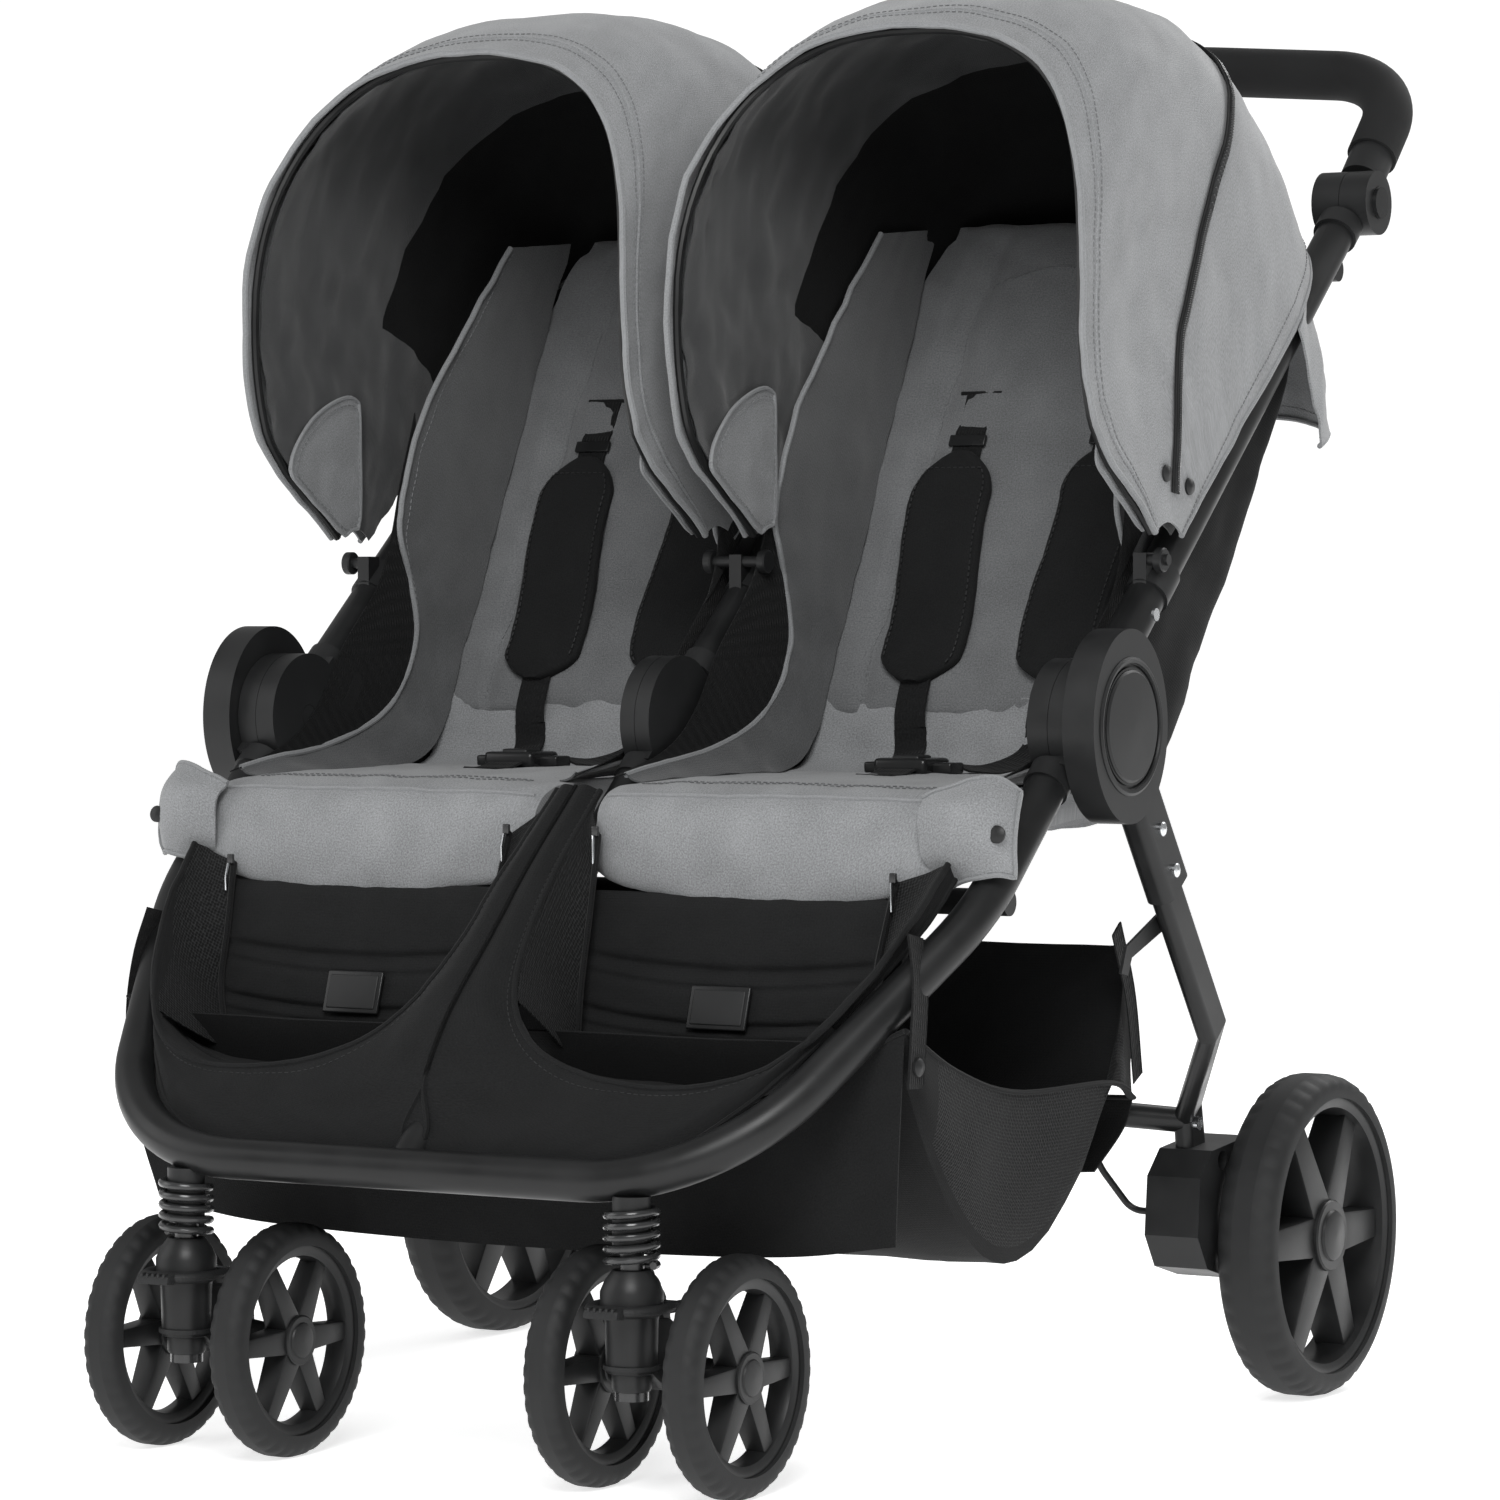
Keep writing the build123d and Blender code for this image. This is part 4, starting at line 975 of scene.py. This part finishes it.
def basket():
    """Sagging basket with mesh sides, a bound rim and hanging straps."""
    rim = [(311, 72, 300), (306, 150, 268), (300, 250, 246), (300, 389, 242), (286, 452, 226)]
    half_rim = spline(rim, 26)
    rings = []
    wall, taper = 0.6, 0.08
    for v in np.linspace(0, 1, 24):
        ring = []
        for x, y, z in half_rim:
            sag = 6 * math.sin(v * math.pi / 2) if v > wall else 0.0
            floor = 128 + 8 * ((x - 150) / 150) ** 2 + 0.05 * (y - 250) ** 2 / 10
            inwards = 0.0 if v < wall else ((v - wall) / (1 - wall)) ** 1.5 * 0.999
            fx = x * (1 - taper * min(v, wall) ** 3) * (1 - inwards)
            ring.append((fx, y, z + (floor - z) * min(1, (v / wall) ** 0.8) - sag))
        rings.append(ring)
    side_grid = np.array(rings)
    side_grid = wrinkled(side_grid, 2.0, 55.0, seed=51)

    def look(i, j):
        return NET if i < 13 and 3 < j < 22 else BLACK

    parts = [sheet_part(side_grid, BLACK, 1.4, pick=look)]
    front = patch([across(*row) for row in (
        [(311, 72, 300), (200, 66, 250), (0, 64, 236)], [(306, 74, 220), (200, 70, 196), (0, 68, 190)],
        [(296, 88, 158), (200, 84, 146), (0, 82, 142)])], 24, 80)
    rear = patch([across(*row) for row in (
        [(286, 452, 226), (150, 455, 222), (0, 455, 221)], [(282, 446, 205), (150, 448, 198), (0, 449, 196)],
        [(272, 420, 176), (150, 420, 168), (0, 420, 166)])], 16, 80)
    shell = [*parts, *[flip(p) for p in parts], sheet_part(front, BLACK, 1.4),
             sheet_part(rear[:, ::-1], BLACK, 1.4)]
    bag = make("basket_bag", shell)
    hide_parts("basket")
    binding = [tube_part(edge, 3.2, PIPING, 8, flat=0.6) for edge in (half_rim, front[0], rear[0])]
    trim = [binding[0], flip(binding[0]), *binding[1:]]
    for s in (1, -1):
        strap = spline([(s * 305, 96, 360), (s * 312, 90, 330), (s * 314, 84, 296), (s * 313, 82, 262)], 16)
        trim.append(ribbon_part(strap, (s, 0, 0), 22, 1.8, WEBBING))
        trim.append(disc_part(s * 314.5, s * 317.5, 82, 276, 6, HUB, dome=0.8))
        rear_strap = spline([(s * 290, 452, 240), (s * 300, 420, 300), (s * 309, 380, 350)], 12)
        trim.append(ribbon_part(rear_strap, (s, 0, 0), 16, 1.6, WEBBING))
    straps = make("basket_trim", trim)
    anchor = spot(0, 64, 300)
    for piece in (bag, straps):
        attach(piece, "front_frame")
        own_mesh(piece)


for label, side in SIDES.items():
    hull(label, side)
    crease(label, side)
basket()


# ---------------------------------------------------------------- wheels and casters
def wheel_parts(x, y, z, radius, rim_r, width, hub_r, spoke, marks):
    """Tyre with small tread marks, stepped rim, six dished spokes and a hub cap on each side."""
    half = width / 2
    crown = radius - rim_r
    left = [(-half, rim_r), (-half, rim_r + 0.30 * crown), (-half * 0.96, rim_r + 0.55 * crown),
            (-half * 0.84, rim_r + 0.78 * crown), (-half * 0.62, rim_r + 0.93 * crown),
            (-half * 0.34, radius), (-half * 0.30, radius)]
    prof = left + [(-w, r) for w, r in reversed(left)]

    def notch(angle, k):
        step = 2 * math.pi / marks
        near = (angle / step) % 1.0
        return 1.1 if near < 0.28 and k in (3, 4, 9, 10) else 0.0

    parts = [lathe_part(prof, (x, y, z), TYRE, steps=marks * 5, notch=notch)]
    w = half - 3
    parts.append(lathe_part([(-w, rim_r), (-w, rim_r - 3), (-w + 2, rim_r - 7), (-w * 0.35, rim_r - 8.5),
                             (w * 0.35, rim_r - 8.5), (w - 2, rim_r - 7), (w, rim_r - 3), (w, rim_r)],
                            (x, y, z), RIM, steps=96))
    for k in range(6):
        turn = Matrix.Rotation(math.radians(60 * k + 30), 3, "X")
        inner, outer = hub_r * 0.7, rim_r - 7.0
        bm = bmesh.new()
        corners = []
        for sx in (-1, 1):
            for r, half_w, deep in ((inner, spoke * 0.62, half * 0.72), (outer, spoke * 0.44, half * 0.55)):
                for sy in (-1, 1):
                    corners.append(bm.verts.new((sx * deep, sy * half_w, r)))
        bmesh.ops.convex_hull(bm, input=corners)
        bmesh.ops.dissolve_limit(bm, angle_limit=0.02, verts=bm.verts, edges=bm.edges)
        bmesh.ops.bevel(bm, geom=bm.edges[:], offset=min(2.0, spoke * 0.12), segments=2, profile=0.6,
                        affect="EDGES")
        part = bm_part(bm, RIM)
        part["v"] = part["v"] @ np.array(turn).T + np.array((x, y, z))
        parts.append(part)
    for way in (-1, 1):
        e = half * way
        cap = [(e * 0.2, hub_r), (e * 0.80, hub_r), (e * 0.86, hub_r - 1), (e * 0.86, hub_r * 0.72),
               (e * 0.94, hub_r * 0.68), (e * 1.0, hub_r * 0.5), (e * 1.02, 0.01), (e * 0.2, 0.01)]
        parts.append(lathe_part(cap, (x, y, z), RIM, steps=48))
    return parts


def wheels():
    """Four caster wheels and two rear wheels."""
    front_r, rear_r = 79.0, 117.0
    for label, side in SIDES.items():
        for place, offset in (("inner", -52.0), ("outer", 52.0)):
            node_name = f"caster_wheel_{place}_{label}"
            parts = wheel_parts(CASTER_X + offset, 0, front_r, front_r, 64.0, 26.0, 17.0, 14.0, 40)
            wheel = make(f"front_wheel_{place}_{label}", sided(parts, side), body=node_name,
                         sharp=30)
            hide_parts(node_name)
        parts = wheel_parts(351.0, WHEELBASE, rear_r, rear_r, 100.0, 44.0, 26.0, 24.0, 46)
        wheel = make(f"rear_wheel_disc_{label}", sided(parts, side), body=f"rear_wheel_{label}",
                     sharp=30)
        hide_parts(f"rear_tyre_{label}", f"rear_rim_{label}")


def casters():
    """Springs, swivel housings and lock levers of both casters."""
    for label, side in SIDES.items():
        x, y = CASTER_X, STEM_Y
        top, bottom = 190.2, 150.2
        turns = 5.2
        a = np.linspace(0, 2 * math.pi * turns, 200)
        rise = np.clip(np.linspace(-0.05, 1.05, 200), 0, 1)
        coil_r, wire_r, gap = 16.2, 2.6, 2.8
        coil_z = bottom + gap + (top - bottom - 2 * gap) * rise
        coil = np.stack([x + coil_r * np.cos(a), y + coil_r * np.sin(a), coil_z], 1)
        spring = make(f"caster_spring_{label}", sided([tube_part(coil, wire_r, SPRING, 10)], side),
                      body="front_frame")
        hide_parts(f"suspension_spring_{label}")
        spot(0, 0, top)
        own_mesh(spring)

        dome = [(72, 0.01), (72, 12), (74, 13), (83, 13), (84, 16.5), (120, 17.5), (122, 20.5), (136, 20.5),
                (143, 17.5), (148, 13.8), (149.8, 12.4), (149.8, 0.01)]
        parts = [lathe_part(dome, (x, y, 0), HUB, axis="z", steps=56)]
        collar = [(86, 12), (86, 18.6), (89, 18.6), (89, 12)]
        parts.append(lathe_part(collar, (x, y, 0), GRAINED, axis="z", steps=56))
        for sx in (-1, 1):
            parts.append(slab_part([(y, 118), (y + 24, 117), (13, 96), (14, 70), (y + 18, 72), (y, 84)],
                                   x + sx * 8, x + sx * 15, HUB, 2.0))
        web = [(y, 112), (y + 20, 110), (8, 90), (8, 72), (y + 16, 76), (y, 86)]
        parts.append(slab_part(web, x - 8, x + 8, HUB, 2.0))
        parts.append(lathe_part([(-37, 0.01), (-37, 10), (-15.5, 12.5), (15.5, 12.5), (37, 10), (37, 0.01)],
                                (x, 0, 79), HUB, steps=40))
        parts.append(disc_part(x - 24, x + 24, -24, 126, 3.0, STEEL))
        body = make(f"caster_housing_{label}", sided(parts, side), body=f"caster_body_{label}",
                    sharp=32)
        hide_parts(f"caster_body_{label}")

        a = np.linspace(math.radians(20), math.radians(-200), 44)
        yoke = np.stack([x + 24.0 * np.cos(a), y + 31.0 * np.sin(a), np.full_like(a, 126.0)], 1)
        ridge = [tube_part(yoke, 4.2, GRAINED, 10, flat=0.75)]
        tab = [(y - 26, 129.5), (y - 38, 127.5), (y - 39.5, 122), (y - 30, 121)]
        ridge.append(slab_part(tab, x - 13, x + 13, GRAINED, 2.0))
        for k in range(5):
            ridge.append(box_part((x - 9 + 4.5 * k, y - 36, 127.6), (2.0, 5, 3), GRAINED, 0.8))
        for sx in (-1, 1):
            arm = [(y + 6, 129), (y + 24, 129.5), (y + 24, 122), (y + 6, 122.5)]
            ridge.append(slab_part(arm, x + sx * 21.0, x + sx * 26, GRAINED, 1.4))
        lock = make(f"caster_lock_{label}", sided(ridge, side), body=f"swivel_lock_{label}")
        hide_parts(f"swivel_lock_{label}")


wheels()
casters()


# ---------------------------------------------------------------- fittings
def hinge_trim():
    """Disc, ring and screws on each outer hinge cover."""
    for label, side in SIDES.items():
        x = 365.0
        y, z = HINGE
        disc = [(x - 1.9, 0.01), (x - 1.9, 38), (x + 0.6, 38.2), (x + 1.8, 36.5), (x + 2.6, 20),
                (x + 3, 0.01)]
        ring = [(x - 0.4, 42.4), (x + 1.2, 43), (x + 1.6, 45), (x + 0.6, 47), (x - 0.4, 47)]
        parts = [lathe_part(outline, (0, y, z), HUB, steps=72) for outline in (disc, ring)]
        leg = math.atan2(277.0 - z, 448.0 - y)
        for reach in (88.0, 124.0):
            sy, sz = y + reach * math.cos(leg), z + reach * math.sin(leg)
            parts.append(disc_part(362.0, 364.6, sy, sz, 5.0, STEEL, dome=0.8))
        make(f"hinge_disc_{label}", sided(parts, side), body="rear_frame", sharp=30)


hinge_trim()


# ---------------------------------------------------------------- stage, light and camera
def studio():
    """White floor and surroundings, with a key, a fill and a back light."""
    bpy.ops.mesh.primitive_plane_add(size=60, location=(0, 0, 0))
    floor = bpy.context.object
    floor.name = "studio_floor"
    floor.data.materials.append(FLOOR)
    surface = FLOOR.node_tree.nodes["Principled BSDF"]
    surface.inputs["Emission Color"].default_value = (1, 1, 1, 1)
    surface.inputs["Emission Strength"].default_value = 0.70
    world = bpy.data.worlds.new("studio")
    bpy.context.scene.world = world
    world.use_nodes = True
    sky = world.node_tree.nodes["Background"]
    sky.inputs["Color"].default_value = (1, 1, 1, 1)
    seen = node(world.node_tree, "ShaderNodeLightPath").outputs["Is Camera Ray"]
    glow = node(world.node_tree, "ShaderNodeMapRange", {"Value": seen, "To Min": 0.36, "To Max": 1.1})
    world.node_tree.links.new(glow.outputs[0], sky.inputs["Strength"])
    lights = [("key", (1.4, -2.9, 2.7), 1.8, 105.0), ("fill", (-2.8, -1.8, 1.6), 2.2, 22.0),
              ("back", (0.6, 2.6, 2.6), 2.0, 60.0)]
    for name, place, size, power in lights:
        light = bpy.data.lights.new(name, "AREA")
        light.size, light.energy = size, power
        lamp = bpy.data.objects.new(name, light)
        lamp.location = place
        lamp.rotation_mode = "QUATERNION"
        lamp.rotation_quaternion = (Vector((0, 0, 0.5)) - Vector(place)).to_track_quat("-Z", "Y")
        bpy.context.scene.collection.objects.link(lamp)


def camera():
    """Seen from the front right, just above level, from 3.8 m."""
    data = bpy.data.cameras.new("camera")
    data.sensor_width, data.lens = 36.0, 130.395
    data.clip_end = 100.0
    cam = bpy.data.objects.new("camera", data)
    bpy.context.scene.collection.objects.link(cam)
    cam.location = spot(1996.70, -2996.49, 577.50)
    cam.rotation_mode = "QUATERNION"
    cam.rotation_quaternion = Vector((-0.50612, 0.86203, -0.02740)).to_track_quat("-Z", "Y")
    bpy.context.scene.camera = cam


studio()
camera()
bpy.context.scene.view_settings.view_transform = "Standard"
